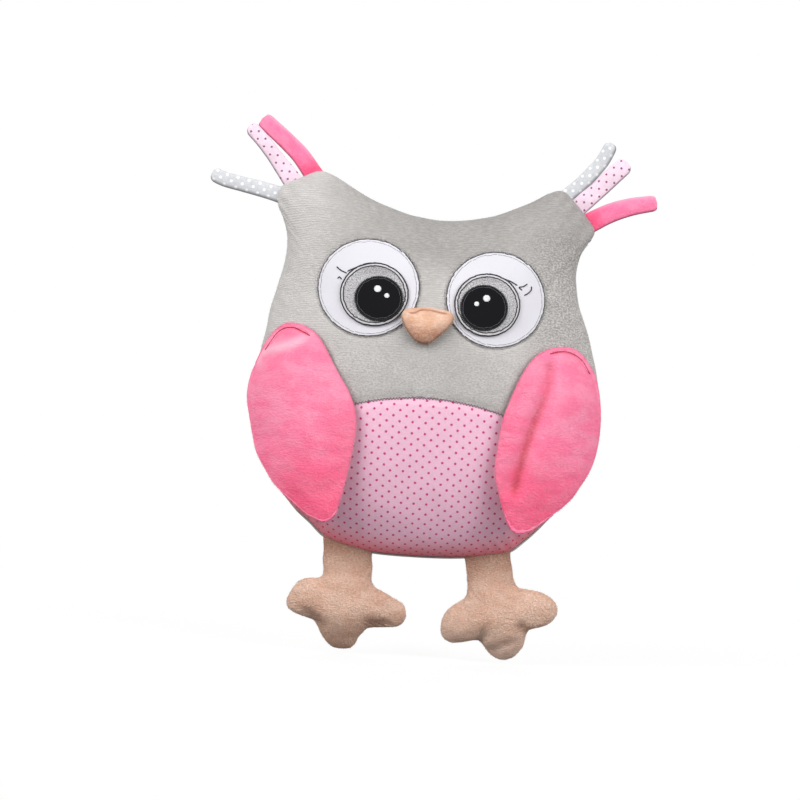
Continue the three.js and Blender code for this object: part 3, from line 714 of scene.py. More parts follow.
# The iris takes a painted shade towards its top
IRIS_FABRIC = felt(
    "iris_fabric", [(218, 216, 218), (108, 106, 110)], grain=0.0007, contrast=0.16, roughness=0.5,
    rim=(202, 200, 204), shaded=(0.0575, 0.0665, 0.45),
)
BLACK_FABRIC = felt(
    "black_fabric", [(18, 18, 22), (9, 9, 12)], grain=0.0006, contrast=0.3, roughness=0.9
)
DARK_THREAD = thread("dark_thread", (36, 35, 38), (10, 10, 12))
GREY_THREAD = thread("grey_thread", (156, 154, 158), (110, 108, 112))
INK_THREAD = thread("ink_thread", (92, 92, 98), (58, 58, 64))
WHITE_THREAD = thread("white_thread", (252, 252, 252), (226, 226, 230))
MAUVE_THREAD = thread("mauve_thread", (150, 112, 128), (104, 78, 90))
PINK_THREAD = thread("pink_thread", (206, 36, 80), (150, 20, 54))
FILLING = wadding("polyester_fill", (246, 244, 239), (214, 211, 205))


# Curves on the flat cloth

def spline_span(points, steps):
    """The centripetal Catmull-Rom span between the middle two of four points."""
    gaps = np.linalg.norm(np.diff(points, axis=0), axis=1) ** 0.5
    knots = np.concatenate([[0], np.cumsum(gaps)])
    t = np.linspace(knots[1], knots[2], steps, endpoint=False)[:, None]

    def between(a, b, i, j):
        share = (t - knots[i]) / (knots[j] - knots[i])
        return a * (1 - share) + b * share

    first = [between(points[i], points[i + 1], i, i + 1) for i in range(3)]
    second = [between(first[i], first[i + 1], i, i + 2) for i in range(2)]
    return between(second[0], second[1], 1, 2)


def smooth_path(points, closed=False, steps=20):
    points = np.array(points, float)
    if closed:
        ring = np.concatenate([points[-1:], points, points[:2]])
    else:
        ring = np.concatenate([2 * points[:1] - points[1:2], points, 2 * points[-1:] - points[-2:-1]])
    spans = [spline_span(ring[i : i + 4], steps) for i in range(len(ring) - 3)]
    return np.concatenate(spans if closed else [*spans, points[-1:]])


def evenly(path, count, closed=False):
    """Points at equal distances along a path."""
    if closed:
        path = np.concatenate([path, path[:1]])
    reach = np.concatenate([[0], np.cumsum(np.linalg.norm(np.diff(path, axis=0), axis=1))])
    stations = np.linspace(0, reach[-1], count, endpoint=not closed)
    return np.stack([np.interp(stations, reach, axis) for axis in path.T], axis=1)


def length_of(path):
    return np.linalg.norm(np.diff(path, axis=0), axis=1).sum()


def counter_clockwise(loop):
    x, z = loop.T
    area = (x * np.roll(z, -1) - np.roll(x, -1) * z).sum()
    return loop if area > 0 else loop[::-1]


def smoothstep(values, low, high):
    share = np.clip((values - low) / (high - low), 0, 1)
    return share * share * (3 - 2 * share)


def near(gap, width):
    """1 on a line and less beside it, over about a width."""
    return np.exp(-((gap / width) ** 2))


def distance_to(path, x, z):
    """Each spot's distance from a polyline, and how far along it the nearest point is, 0 to 1."""
    nearest = np.full(np.shape(x), 1e9)
    along = np.zeros(np.shape(x))
    lengths = np.linalg.norm(np.diff(path, axis=0), axis=1)
    starts = np.concatenate([[0], np.cumsum(lengths)])
    for i in range(len(lengths)):
        step = path[i + 1] - path[i]
        share = ((x - path[i][0]) * step[0] + (z - path[i][1]) * step[1]) / lengths[i] ** 2
        share = np.clip(share, 0, 1)
        gap = np.hypot(x - path[i][0] - share * step[0], z - path[i][1] - share * step[1])
        closer = gap < nearest
        nearest = np.where(closer, gap, nearest)
        along = np.where(closer, (starts[i] + share * lengths[i]) / starts[-1], along)
    return nearest, along


def lumps(x, y, z, grain, seed):
    """Smooth noise from -1 to 1 at each spot, with lumps of the grain's size."""
    flat = zip(np.ravel(x), np.ravel(y), np.ravel(z))
    values = [noise.noise((a / grain + seed, b / grain, c / grain)) for a, b, c in flat]
    return np.reshape(values, np.shape(x))


# Stuffed outlines

def film_height(spots):
    """How high a soap film that is held at the last ring stands over each spot."""
    sectors = spots.shape[1]
    points = np.concatenate([spots[0, :1], spots[1:].reshape(-1, 2)])
    ring = np.arange(1, len(points)).reshape(-1, sectors)
    following = np.roll(ring, -1, axis=1)
    hub = np.zeros(sectors, int)
    faces = [np.stack([hub, ring[0], following[0]], axis=1)]
    faces.append(np.stack([ring[:-1], ring[1:], following[1:]], axis=-1).reshape(-1, 3))
    faces.append(np.stack([ring[:-1], following[1:], following[:-1]], axis=-1).reshape(-1, 3))
    faces = np.concatenate(faces)
    corners = points[faces]
    u, v = corners[:, 1] - corners[:, 0], corners[:, 2] - corners[:, 0]
    double_area = u[:, 0] * v[:, 1] - u[:, 1] * v[:, 0]
    pulls = np.zeros((len(points), len(points)))
    loads = np.zeros(len(points))
    for k in range(3):
        i, j, far = faces[:, k], faces[:, (k + 1) % 3], faces[:, (k + 2) % 3]
        pull = ((points[i] - points[far]) * (points[j] - points[far])).sum(axis=1) / double_area / 2
        for a, b, sign in ((i, j, -1), (j, i, -1), (i, i, 1), (j, j, 1)):
            np.add.at(pulls, (a, b), sign * pull)
        np.add.at(loads, i, double_area / 6)
    free = len(points) - sectors
    height = np.zeros(len(points))
    height[:free] = np.linalg.solve(pulls[:free, :free], loads[:free])
    return np.concatenate([np.full((1, sectors), height[0]), height[1:].reshape(-1, sectors)])


def doubled(grid):
    """Twice as many rings and sectors, with smooth values between the old ones."""
    def middles(before, near, far, after):
        return (9 * (near + far) - before - after) / 16

    across = middles(np.roll(grid, 1, 1), grid, np.roll(grid, -1, 1), np.roll(grid, -2, 1))
    grid = np.stack([grid, across], axis=2).reshape(len(grid), -1)
    inner = np.roll(grid[1:2], grid.shape[1] // 2, axis=1)
    padded = np.concatenate([inner, grid, 2 * grid[-1:] - grid[-2:-1]])
    between = middles(padded[:-3], padded[1:-2], padded[2:-1], padded[3:])
    rings = np.empty((2 * len(grid) - 1, grid.shape[1]))
    rings[::2] = grid
    rings[1::2] = between
    return rings


class Pillow:
    """A sewn outline with rings of spots from a hub out to its seam. full is how full the stuffing
    stands at each spot, from 0 at the seam to 1: the square root of a soap film's height."""

    def __init__(self, outline, hub, sectors, rings):
        self.loop = evenly(counter_clockwise(smooth_path(outline, closed=True)), sectors, closed=True)
        self.hub = np.array(hub, float)
        self.reach = np.sin(np.linspace(0, math.pi / 2, rings + 1))
        spots = self.hub + self.reach[:, None, None] * (self.loop - self.hub)
        self.x, self.z = spots[..., 0], spots[..., 1]
        film = doubled(doubled(film_height(spots[::COARSE, ::COARSE])))
        self.full = np.sqrt(np.clip(film, 0, None) / film.max())
        self.full[-1] = 0

    def skin(self, depth, side, middle=0.0):
        """One skin's Y at each spot: side -1 is the front and 1 the back."""
        return middle + side * (SEAM_GAP / 2 + depth * self.full)

    def from_seam(self):
        """Each spot's distance from the seam in its own sector."""
        return np.hypot(self.x - self.loop[:, 0], self.z - self.loop[:, 1])

    def along_seam(self):
        """Length along the seam at each sector."""
        steps = np.linalg.norm(np.diff(self.loop, axis=0), axis=1)
        return np.concatenate([[0], np.cumsum(steps)])

    def gathers(self, depth, spacing, reach, seed):
        """Small puckers across the seam, which fade over the reach."""
        along = self.along_seam()
        ripple = np.sin(2 * math.pi * along / spacing + 2 * np.sin(along / spacing * 0.9 + seed))
        x, z = self.loop.T
        ripple = ripple * (0.6 + 0.7 * lumps(x, 0 * x, z, 5 * spacing, seed))
        gap = self.from_seam()
        return depth * (ripple * near(gap, reach) * smoothstep(gap, 0, reach / 3))

    def swelling(self, y, height, grain, seed):
        """The soft unevenness of a stuffing in its skin, which fades at the seam."""
        return height * lumps(self.x, y, self.z, grain, seed) * np.minimum(self.full * 2, 1)

    def with_pile(self, y, height, seed):
        """A skin's Y with the pile's own fine unevenness, longer across than up."""
        relief = height * lumps(self.x * PILE_STRETCH, y, self.z, PILE_GRAIN, seed)
        return y + relief * np.minimum(self.full * 3, 1)


def cloth_places(x, y, z):
    """Where each spot lies on the flat cloth: its length over the surface from the hub, in the
    direction in which it lies, and its distance over the surface from the seam."""
    steps = np.sqrt(np.diff(x, axis=0) ** 2 + np.diff(y, axis=0) ** 2 + np.diff(z, axis=0) ** 2)
    reach = np.concatenate([np.zeros((1, x.shape[1])), np.cumsum(steps, axis=0)])
    flat = np.hypot(x - x[0], z - z[0])
    stretch = np.divide(reach, flat, out=np.ones_like(reach), where=flat > 0)
    across = x[0] + (x - x[0]) * stretch
    up = z[0] + (z - z[0]) * stretch
    return np.stack([across, up, reach[-1] - reach], axis=-1)


def ring_faces(rings, sectors, start=0, flip=False):
    """Faces of a hub vertex and rings round it, which turn to the front."""
    faces = []
    for j in range(sectors):
        j_next = (j + 1) % sectors
        faces.append((start, start + 1 + j, start + 1 + j_next))
        for ring in range(rings - 1):
            low = start + 1 + ring * sectors
            high = low + sectors
            faces.append((low + j, high + j, high + j_next, low + j_next))
    return [face[::-1] for face in faces] if flip else faces


def flattened(grid):
    return np.concatenate([grid[0, :1], grid[1:].reshape(-1, grid.shape[-1])])


def painted_shades_and_ruffles(like, deep=0.0, crease=0.0, pale=0.0, ruffled=0.0):
    """The painted shade, painted crease shade and painted highlight at each spot, and how ruffled
    the pile is there, from shares of 0 to 1.
    """
    shares = [np.broadcast_to(share, like.shape) for share in (deep, crease, pale, ruffled)]
    return np.stack(shares, axis=-1)


def new_mesh(name, points, faces, places=None, shades_and_ruffles=None):
    mesh = bpy.data.meshes.new(name)
    mesh.from_pydata(points, [], faces)
    if places is not None:
        attribute = mesh.attributes.new("cloth", "FLOAT_VECTOR", "POINT")
        attribute.data.foreach_set("vector", np.asarray(places, np.float32).ravel())
    if shades_and_ruffles is not None:
        # The attribute "pile" holds the painted shade, the painted crease shade and the painted
        # highlight
        attribute = mesh.attributes.new("pile", "FLOAT_VECTOR", "POINT")
        attribute.data.foreach_set("vector", np.asarray(shades_and_ruffles[..., :3], np.float32).ravel())
        attribute = mesh.attributes.new("ruffled", "FLOAT", "POINT")
        attribute.data.foreach_set("value", np.asarray(shades_and_ruffles[..., 3], np.float32).ravel())
    mesh.shade_smooth()
    return mesh


def new_piece(name, mesh, material):
    piece = bpy.data.objects.new(name, mesh)
    bpy.context.scene.collection.objects.link(piece)
    mesh.materials.clear()
    mesh.materials.append(material)
    return piece


def skin_mesh(name, x, y, z, back=False, shades_and_ruffles=None):
    """An open skin of rings, which faces forwards unless it is a back."""
    points = flattened(np.stack([x, y, z], axis=-1))
    places = flattened(cloth_places(x, y, z))
    if shades_and_ruffles is not None:
        shades_and_ruffles = flattened(shades_and_ruffles)
    rings, sectors = len(x) - 1, x.shape[1]
    return new_mesh(name, points, ring_faces(rings, sectors, flip=back), places, shades_and_ruffles)


def closed_mesh(name, x, front, back, z):
    """A closed form between a front and a back sheet of rings."""
    rings, sectors = len(x) - 1, x.shape[1]
    sheets = [flattened(np.stack([x, y, z], axis=-1)) for y in (front, back)]
    count = len(sheets[0])
    faces = ring_faces(rings, sectors) + ring_faces(rings, sectors, start=count, flip=True)
    rim = count - sectors
    for j in range(sectors):
        j_next = (j + 1) % sectors
        faces.append((rim + j, rim + count + j, rim + count + j_next, rim + j_next))
    places = np.tile(flattened(cloth_places(x, front, z)), (2, 1))
    return new_mesh(name, np.concatenate(sheets), faces, places)


def applied(piece):
    """The piece's mesh with its modifiers applied, which are taken off."""
    evaluated = piece.evaluated_get(bpy.context.evaluated_depsgraph_get())
    mesh = bpy.data.meshes.new_from_object(evaluated)
    piece.modifiers.clear()
    return mesh


def thicken(piece, thickness):
    """Gives an open skin its thickness, on its inner side."""
    solid = piece.modifiers.new("thickness", "SOLIDIFY")
    solid.thickness = thickness
    solid.offset = -1
    solid.use_rim = True
    piece.data = applied(piece)


# Cloth simulation

def sampled(mesh, x, z, side):
    """The Y of a scaled-up mesh at each spot, as seen from the front (-1) or the back (1)."""
    points = [spot.co / CLOTH_SCALE for spot in mesh.vertices]
    tree = BVHTree.FromPolygons(points, [tuple(face.vertices) for face in mesh.polygons])
    start, way = side * RAY_START, Vector((0, -side, 0))
    hits = [tree.ray_cast(Vector((a, start, b)), way)[0] for a, b in zip(np.ravel(x), np.ravel(z))]
    return np.reshape([np.nan if hit is None else hit.y for hit in hits], np.shape(x))


def finer(form):
    """The form's mesh after its modifiers and two subdivisions."""
    smooth = form.modifiers.new("finer", "SUBSURF")
    smooth.levels = 2
    return applied(form)


def cloth_form(pillow, sheets, grain):
    """An even closed mesh between a pillow's front and back sheets, scaled up, whose vertex group
    "seam" holds what lies at the seam."""
    x, front, back, z = [grid[::COARSE, ::COARSE] for grid in (pillow.x, *sheets, pillow.z)]
    mesh = closed_mesh("cloth_form", x, front, back, z)
    mesh.transform(Matrix.Scale(CLOTH_SCALE, 4))
    form = bpy.data.objects.new("cloth_form", mesh)
    bpy.context.scene.collection.objects.link(form)
    even = form.modifiers.new("even", "REMESH")
    even.mode = "VOXEL"
    even.voxel_size = grain * CLOTH_SCALE
    form.data = applied(form)
    spots = np.array([spot.co for spot in form.data.vertices]) / CLOTH_SCALE
    aside = spots[:, None, 0] - pillow.loop[:, 0]
    above = spots[:, None, 2] - pillow.loop[:, 1]
    at_seam = np.hypot(aside, above).min(axis=1) < 1.2 * grain
    form.vertex_groups.new(name="seam").add(np.flatnonzero(at_seam).tolist(), 1.0, "REPLACE")
    return form


def inflate(form):
    """Blows up a form that is held at its seam, and gives the mesh that it ends as."""
    cloth = form.modifiers.new("cloth", "CLOTH")
    cloth.settings.use_pressure = True
    cloth.settings.uniform_pressure_force = CLOTH_PRESSURE
    cloth.settings.vertex_group_mass = "seam"
    cloth.settings.shrink_min = -CLOTH_SLACK
    cloth.settings.effector_weights.gravity = 0
    cloth.collision_settings.use_collision = False
    cloth.point_cache.frame_start = 1
    cloth.point_cache.frame_end = CLOTH_FRAMES
    for moment in range(1, CLOTH_FRAMES + 1):
        bpy.context.scene.frame_set(moment)
    after = finer(form)
    bpy.data.objects.remove(form)
    bpy.context.scene.frame_set(1)
    return after


def blown_up(pillow, front, back, grain, reach):
    """Both skins' Y after Blender's cloth simulation. The form starts a little flat, in a little
    too much fabric and held at its seam, and pressure blows it up until it wrinkles there. The
    result is scaled to the depth it was given, and no spot moves farther than the reach."""
    middle = (front + back) / 2
    form = cloth_form(pillow, [middle + CLOTH_START * (y - middle) for y in (front, back)], grain)
    before = finer(form)
    after = inflate(form)
    sure = smoothstep(pillow.from_seam(), 0.4 * grain, 1.4 * grain)
    blown = []
    for side, y in ((-1, front), (1, back)):
        moved = sampled(after, pillow.x, pillow.z, side) - sampled(before, pillow.x, pillow.z, side)
        depth = abs(CLOTH_START * (y - middle) + np.nan_to_num(moved) * sure)
        change = depth * abs(y - middle).max() / depth.max() - abs(y - middle)
        blown.append(y + side * reach * np.tanh(change / reach))
    return blown


def sew_to(piece, body):
    """Makes a piece on the torso or the beak move with its body; a piece on a wing, a leg or a tuft
    keeps its place, baked into its mesh.
    """
    kind = body.split("_")[0]
    if kind not in BENDS:
        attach(piece, body)
        return
    joint = next(row for row in frame["record"]["behaviour"]["joints"] if row["child"] == body)
    place, axis = Vector(joint["pos_m"]), Vector(joint["axis"]).normalized()
    low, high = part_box(body if kind == "tuft" else f"{body}_front")
    away = (low + high) / 2 - place
    away = (away - axis * away.dot(axis)).normalized()
    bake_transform(piece)


def set_up(piece, body, node, slot, fill=None):
    sew_to(piece, body)
    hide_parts(node)


# Sewing

# A running line of stitches: the length of a stitch, the gap after it, half the thread's
# thickness, how high the thread lies on the fabric, and how far stitches stray from their line
Line = namedtuple("Line", "stitch gap radius lift wander", defaults=[0.0])


class Stitches:
    """Many short stitches of one thread, each a closed bent tube with round ends."""

    SIDES = 6
    END_SHARE = 0.45

    def __init__(self):
        self.points = []
        self.faces = []

    def add(self, path, radius):
        """One stitch along a few 3-D points."""
        path = np.asarray(path, float)
        steps = np.gradient(path, axis=0)
        steps /= np.linalg.norm(steps, axis=1)[:, None]
        start = path[0] - steps[0] * radius
        end = path[-1] + steps[-1] * radius
        centres = np.concatenate([[start], path, [end]])
        ways = np.concatenate([steps[:1], steps, steps[-1:]])
        radii = [radius * self.END_SHARE, *[radius] * len(path), radius * self.END_SHARE]
        first = len(self.points)
        for centre, way, size in zip(centres, ways, radii):
            side = np.cross(way, (0, -1, 0))
            side /= max(np.linalg.norm(side), 1e-9)
            out = np.cross(way, side)
            for k in range(self.SIDES):
                angle = 2 * math.pi * k / self.SIDES
                self.points.append(centre + size * (math.cos(angle) * side + math.sin(angle) * out))
        rings = len(centres)
        for ring in range(rings - 1):
            for k in range(self.SIDES):
                a = first + ring * self.SIDES + k
                b = first + ring * self.SIDES + (k + 1) % self.SIDES
                self.faces.append((a, b, b + self.SIDES, a + self.SIDES))
        low = range(first, first + self.SIDES)
        high = range(first + (rings - 1) * self.SIDES, first + rings * self.SIDES)
        self.faces.append(tuple(reversed(low)))
        self.faces.append(tuple(high))

    def piece(self, name, material, body, slot):
        made = new_piece(name, new_mesh(name, self.points, self.faces), material)
        sew_to(made, body)
        return made


def laid(surface, path, lift):
    """A flat path laid on a surface, at a height above it."""
    return np.array([surface.above(x, z, lift) for x, z in path])


def seam_length(path, closed):
    return length_of(np.concatenate([path, path[:1]]) if closed else path)


def running(stitches, surface, path, line, closed=False, seed=0):
    """Running stitches along a path with gaps between them, as the line says."""
    stations = 6
    chance = np.random.default_rng(seed)
    count = max(1, round(seam_length(path, closed) / (line.stitch + line.gap)))
    spots = evenly(path, count * stations + (0 if closed else 1), closed)
    used = max(2, round(stations * line.stitch / (line.stitch + line.gap)))
    for k in range(count):
        sewn = [spots[(k * stations + i) % len(spots)] for i in range(used + 1)]
        sewn = np.array(sewn) + chance.normal(0, 1, 2) * line.wander
        stitches.add(laid(surface, sewn, line.lift), line.radius)


def zigzag(stitches, surface, path, pitch, reach, radius, lift, closed=False, seed=0):
    """Slanting stitches to and fro across a path."""
    chance = np.random.default_rng(seed)
    count = round(seam_length(path, closed) / pitch)
    line = evenly(path, count + 1, closed)
    for k in range(len(line) - 1):
        way = line[k + 1] - line[k]
        way /= np.linalg.norm(way)
        out = np.array([-way[1], way[0]]) * reach / 2
        side = 1 if k % 2 else -1
        jitter = chance.normal(0, 0.12 * reach, (2, 2))
        ends = np.array([line[k] - side * out, line[k + 1] + side * out]) + jitter
        stitches.add(laid(surface, evenly(ends, 3), lift), radius)


def fringe(name, loop, seam_y, fabric, body, seed, length, wanted=None):
    """The pile that stands out past a seam, where it is wanted: short closed spikes of fibres,
    leaning at random, with a painted highlight at their tips."""
    chance = np.random.default_rng(seed)
    spans = np.roll(loop, -1, axis=0) - loop
    lengths = np.linalg.norm(spans, axis=1)
    weights = lengths if wanted is None else lengths * wanted
    count = round(weights.sum() / FRINGE_SPACING)
    starts = chance.choice(len(loop), count, p=weights / weights.sum())
    share = chance.random(count)
    roots = loop[starts] + spans[starts] * share[:, None]
    roots_y = seam_y[starts] * (1 - share) + np.roll(seam_y, -1)[starts] * share
    way = spans[starts] / lengths[starts][:, None]
    out = np.stack([way[:, 1], -way[:, 0]], axis=1)
    lean = chance.normal(0, FRINGE_LEAN, count)
    aim = out * np.cos(lean)[:, None] + way * np.sin(lean)[:, None]
    reach = length * chance.uniform(0.4, 1, count)
    depth = chance.normal(0, FRINGE_STRAY, count)
    base = np.stack([roots[:, 0], roots_y + depth * length, roots[:, 1]], axis=1)
    base[:, [0, 2]] -= out * length * 0.5
    tips = base + np.stack([aim[:, 0], depth, aim[:, 1]], axis=1) * (reach + length * 0.5)[:, None]
    points = np.empty((count, 4, 3))
    for corner in range(3):
        angle = 2 * math.pi * corner / 3
        points[:, corner] = base
        points[:, corner, [0, 2]] += FRINGE_RADIUS * math.cos(angle) * way
        points[:, corner, 1] += FRINGE_RADIUS * math.sin(angle)
    points[:, 3] = tips
    corners = [(0, 1, 2), (0, 3, 1), (1, 3, 2), (2, 3, 0)]
    faces = [tuple(4 * k + corner for corner in face) for k in range(count) for face in corners]
    flat = points.reshape(-1, 3)
    places = np.stack([flat[:, 0], flat[:, 2], np.full(len(flat), 1.0)], axis=1)
    # A painted highlight at each fibre's tip
    shades_and_ruffles = painted_shades_and_ruffles(flat[:, 0], pale=np.tile([0.0, 0.0, 0.0, FRINGE_TIP_HIGHLIGHT], count))
    made = new_piece(name, new_mesh(name, flat, faces, places, shades_and_ruffles), fabric.material)
    sew_to(made, body)


class Surface:
    """A skin that other pieces lie on, seen from the front."""

    def __init__(self, x, y, z):
        points = flattened(np.stack([x, y, z], axis=-1))
        faces = ring_faces(len(x) - 1, x.shape[1])
        self.tree = BVHTree.FromPolygons(points.tolist(), faces)

    def front(self, x, z, beside=0.0):
        """The Y of the skin at a spot, or the given value beside it."""
        hit = self.tree.ray_cast(Vector((x, -RAY_START, z)), Vector((0, 1, 0)))[0]
        return beside if hit is None else hit.y

    def above(self, x, z, lift):
        return np.array([x, self.front(x, z) - lift, z])

    def fronts(self, x, z, beside=0.0):
        values = [self.front(a, b, beside) for a, b in zip(np.ravel(x), np.ravel(z))]
        return np.reshape(values, np.shape(x))


class Layered(Surface):
    """The topmost of several surfaces at a spot."""

    def __init__(self, surfaces):
        self.surfaces = surfaces

    def front(self, x, z, beside=0.0):
        return min(surface.front(x, z, beside) for surface in self.surfaces)


# A fabric to sew with: its finish, record slot and thickness, how high its pile stands and how
# tightly its pieces are filled
Fabric = namedtuple("Fabric", "material slot thickness pile fill")

grey_plush = Fabric(GREY_PLUSH, "grey_plush", PLUSH_SKIN, 0.00018, 0.8)
belly_cotton = Fabric(DOTTED_COTTON, "dotted_cotton", COTTON_SKIN, 0.0, 0.8)
peach_velour = Fabric(PEACH_VELOUR, "peach_velour", BEAK_SKIN, 0.0001, 0.7)
pink_plush = Fabric(PINK_PLUSH, "pink_plush", WING_SKIN, 0.00018, 0.45)
beige_plush = Fabric(BEIGE_PLUSH, "beige_plush", LEG_SKIN, 0.00028, 0.7)


def sew_skin(name, mesh, fabric, body_name, node):
    """A skin's mesh as a piece of its fabric, with the fabric's thickness."""
    piece = new_piece(name, mesh, fabric.material)
    thicken(piece, fabric.thickness)
    set_up(piece, body_name, node, fabric.slot, fabric.fill)


# Body: one pillow, whose front is cut along the belly seam's arc into a face and a belly

body_low = Vector(map(min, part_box("face_panel")[0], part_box("belly_panel")[0]))
body_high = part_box("face_panel")[1]
half_width = body_high.x
body_bottom = body_low.z
body_height = body_high.z - body_bottom
half_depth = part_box("back_panel")[1].y
front_depth = -body_low.y
seam_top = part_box("belly_panel")[1].z
seam_centre = seam_top - BELLY_SEAM_RADIUS


def boxed(node, shares, inner_sign=1):
    """Shares of a node's box as places; inner_sign -1 counts X from the box's right side."""
    low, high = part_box(node)
    start = low.x if inner_sign > 0 else high.x
    width = inner_sign * (high.x - low.x)
    return [(start + x * width, low.z + z * (high.z - low.z)) for x, z in shares]


def body_outline():
    sides = {
        side: [(sign * x * half_width, body_bottom + z * body_height) for x, z in BODY_SHARES[side]]
        for side, sign in SIDES.items()
    }
    return sides["right"][:-1] + sides["left"][:0:-1]


body_hub = (0, body_bottom + BODY_HUB_SHARE * body_height)
body = Pillow(body_outline(), body_hub, BODY_SECTORS, BODY_RINGS)


def pressed_eyes(x, z):
    """How far the stitched eyes hold the plush down, from 0 to 1."""
    held = np.zeros_like(x)
    for layers in EYES.values():
        centre, radii = layers["white"]
        gap = (np.hypot((x - centre[0]) / radii[0], (z - centre[1]) / radii[1]) - 1) * radii[0]
        held = np.maximum(held, smoothstep(-gap, *EYE_SINK_SPAN))
    return held


def belly_arc_gap(x, z):
    """Distance outside the belly seam's arc."""
    return np.hypot(x, z - seam_centre) - BELLY_SEAM_RADIUS


def along_bottom(x, z):
    """1 at the seam below the belly, and 0 away from it."""
    from_end = half_width * EDGE_END_SHARE - abs(x)
    return smoothstep(-belly_arc_gap(x, z), *EDGE_BELOW_ARC) * smoothstep(from_end, 0, EDGE_END_FADE)


# Below the belly the back is cut a little longer than the front, so its edge shows
edge_x, edge_z = body.loop.T
edge_fade = near(1 - body.reach[:, None], EDGE_REACH_SHARE)
edge_share = along_bottom(edge_x, edge_z) * edge_fade
outward = body.loop - body.hub
outward /= np.linalg.norm(outward, axis=1)[:, None]
front_x = body.x - edge_share * outward[:, 0] * FRONT_TURN_IN
front_z = body.z - edge_share * outward[:, 1] * FRONT_TURN_IN
back_x = body.x + edge_share * outward[:, 0] * BACK_TURN_OUT
back_z = body.z + edge_share * outward[:, 1] * BACK_TURN_OUT

front, back = blown_up(body, body.skin(front_depth, -1), body.skin(front_depth, 1), *BODY_CLOTH)
front = front + (body.swelling(front, *FRONT_LUMPS) + body.swelling(front, *FRONT_SMALL_LUMPS))
front += body.gathers(*FRONT_GATHERS)
front += EYE_SINK * pressed_eyes(body.x, body.z)
arc_gap = belly_arc_gap(body.x, body.z)
front += BELLY_SEAM_VALLEY * near(arc_gap, BELLY_SEAM_WIDTH) * body.full
face_surface = Surface(body.x, front, body.z)

back = back + (body.swelling(back, *BACK_LUMPS) - body.gathers(*BACK_GATHERS))
back = np.minimum(back, half_depth)


def face_shades_and_ruffles(x, z):
    """Painted shade on the brow, on the right and a little in the middle, a painted highlight low
    down, a painted shadow just below the beak, and ruffled pile on the right and low down.
    """
    right = smoothstep(x, *FACE_RIGHT_ACROSS)
    brow = smoothstep(z, *FACE_BROW_UP) * smoothstep(x, *FACE_BROW_ACROSS)
    low = smoothstep(z, *FACE_LOW_UP)
    ruffled = smoothstep(x, *FACE_RUFFLED_ACROSS) * smoothstep(z, *FACE_RUFFLED_UP)
    ruffled = np.maximum(ruffled, 0.85 * low)
    deep = 0.13 * smoothstep(x, *FACE_MIDDLE_ACROSS) * (1 - right) + 0.47 * brow * (1 - 0.4 * ruffled)
    deep += 0.12 * right * smoothstep(z, *FACE_RIGHT_UP)
    # A painted shadow on the face just below the beak's lower edge
    beak_edge = smooth_path(boxed("beak_front", BEAK_SHARES[6:]))
    crease = 0.4 * near(distance_to(beak_edge, x, z + BEAK_SHADE_DROP)[0], BEAK_SHADE_WIDTH)
    return painted_shades_and_ruffles(x, deep=deep, crease=crease, pale=0.2 * low, ruffled=ruffled)


def cut_front(name, fabric, keep_face, node):
    """One of the two front skins: the part outside the arc is the face."""
    shades_and_ruffles = face_shades_and_ruffles(body.x, body.z) if keep_face else None
    mesh = skin_mesh(name, front_x, body.with_pile(front, fabric.pile, 5.0), front_z, shades_and_ruffles=shades_and_ruffles)
    editing = bmesh.new()
    editing.from_mesh(mesh)
    field = {v: belly_arc_gap(v.co.x, v.co.z) for v in editing.verts}
    crossings = []
    for edge in list(editing.edges):
        first, second = edge.verts
        if field[first] * field[second] < 0:
            share = field[first] / (field[first] - field[second])
            made = bmesh.utils.edge_split(edge, first, share)[1]
            field[made] = 0.0
            crossings.append(made)
    bmesh.ops.connect_verts(editing, verts=crossings)
    sign = 1 if keep_face else -1
    unwanted = [f for f in editing.faces if sign * sum(field[v] for v in f.verts) < 0]
    bmesh.ops.delete(editing, geom=unwanted, context="FACES")
    editing.to_mesh(mesh)
    editing.free()
    mesh.shade_smooth()
    sew_skin(name, mesh, fabric, "torso", node)


cut_front("plush_face", grey_plush, True, "face_panel")
cut_front("cotton_belly", belly_cotton, False, "belly_panel")

back_mesh = skin_mesh("plush_back", back_x, body.with_pile(back, BACK_PILE, 9.0), back_z, back=True)
sew_skin("plush_back", back_mesh, grey_plush, "torso", "back_panel")


def filling_of(name, pillow, front_y, back_y, skin, body_name, node):
    """The stuffing inside two skins, on every fourth ring and sector."""
    inside = skin + FILL_GAP
    room = (back_y - front_y) / 2 - inside
    deep = (room > inside).all(axis=1)
    rings = [ring for ring in range(0, len(deep), COARSE) if deep[ring]]
    x, z = pillow.x[rings, ::COARSE], pillow.z[rings, ::COARSE]
    front_sheet = front_y[rings, ::COARSE] + inside
    back_sheet = back_y[rings, ::COARSE] - inside
    piece = new_piece(name, closed_mesh(name, x, front_sheet, back_sheet, z), FILLING)
    set_up(piece, body_name, node, "polyester_fill")


filling_of("body_filling", body, front, back, PLUSH_SKIN, "torso", "body_stuffing")
fringe("body_pile", body.loop, np.zeros(BODY_SECTORS), grey_plush, "torso", seed=6, length=0.0006)

# Belly seam: slanting stitches that close the cotton's turned edge against the plush
seam_reach = math.asin(BELLY_SEAM_SHARE * half_width / BELLY_SEAM_RADIUS)
seam_angles = np.linspace(-seam_reach, seam_reach, BELLY_SEAM_POINTS)
seam_path = BELLY_SEAM_RADIUS * np.stack([np.sin(seam_angles), np.cos(seam_angles)], axis=1)
seam_path += (0, seam_centre)
belly_stitches = Stitches()
zigzag(
    belly_stitches, face_surface, seam_path,
    pitch=0.00085, reach=0.001, radius=0.00016, lift=0.0002, seed=4,
)
belly_stitches.piece("belly_seam_stitches", MAUVE_THREAD, "torso", "dotted_cotton")


# Eyes: three layers of fabric on each side, held down by stitched edges

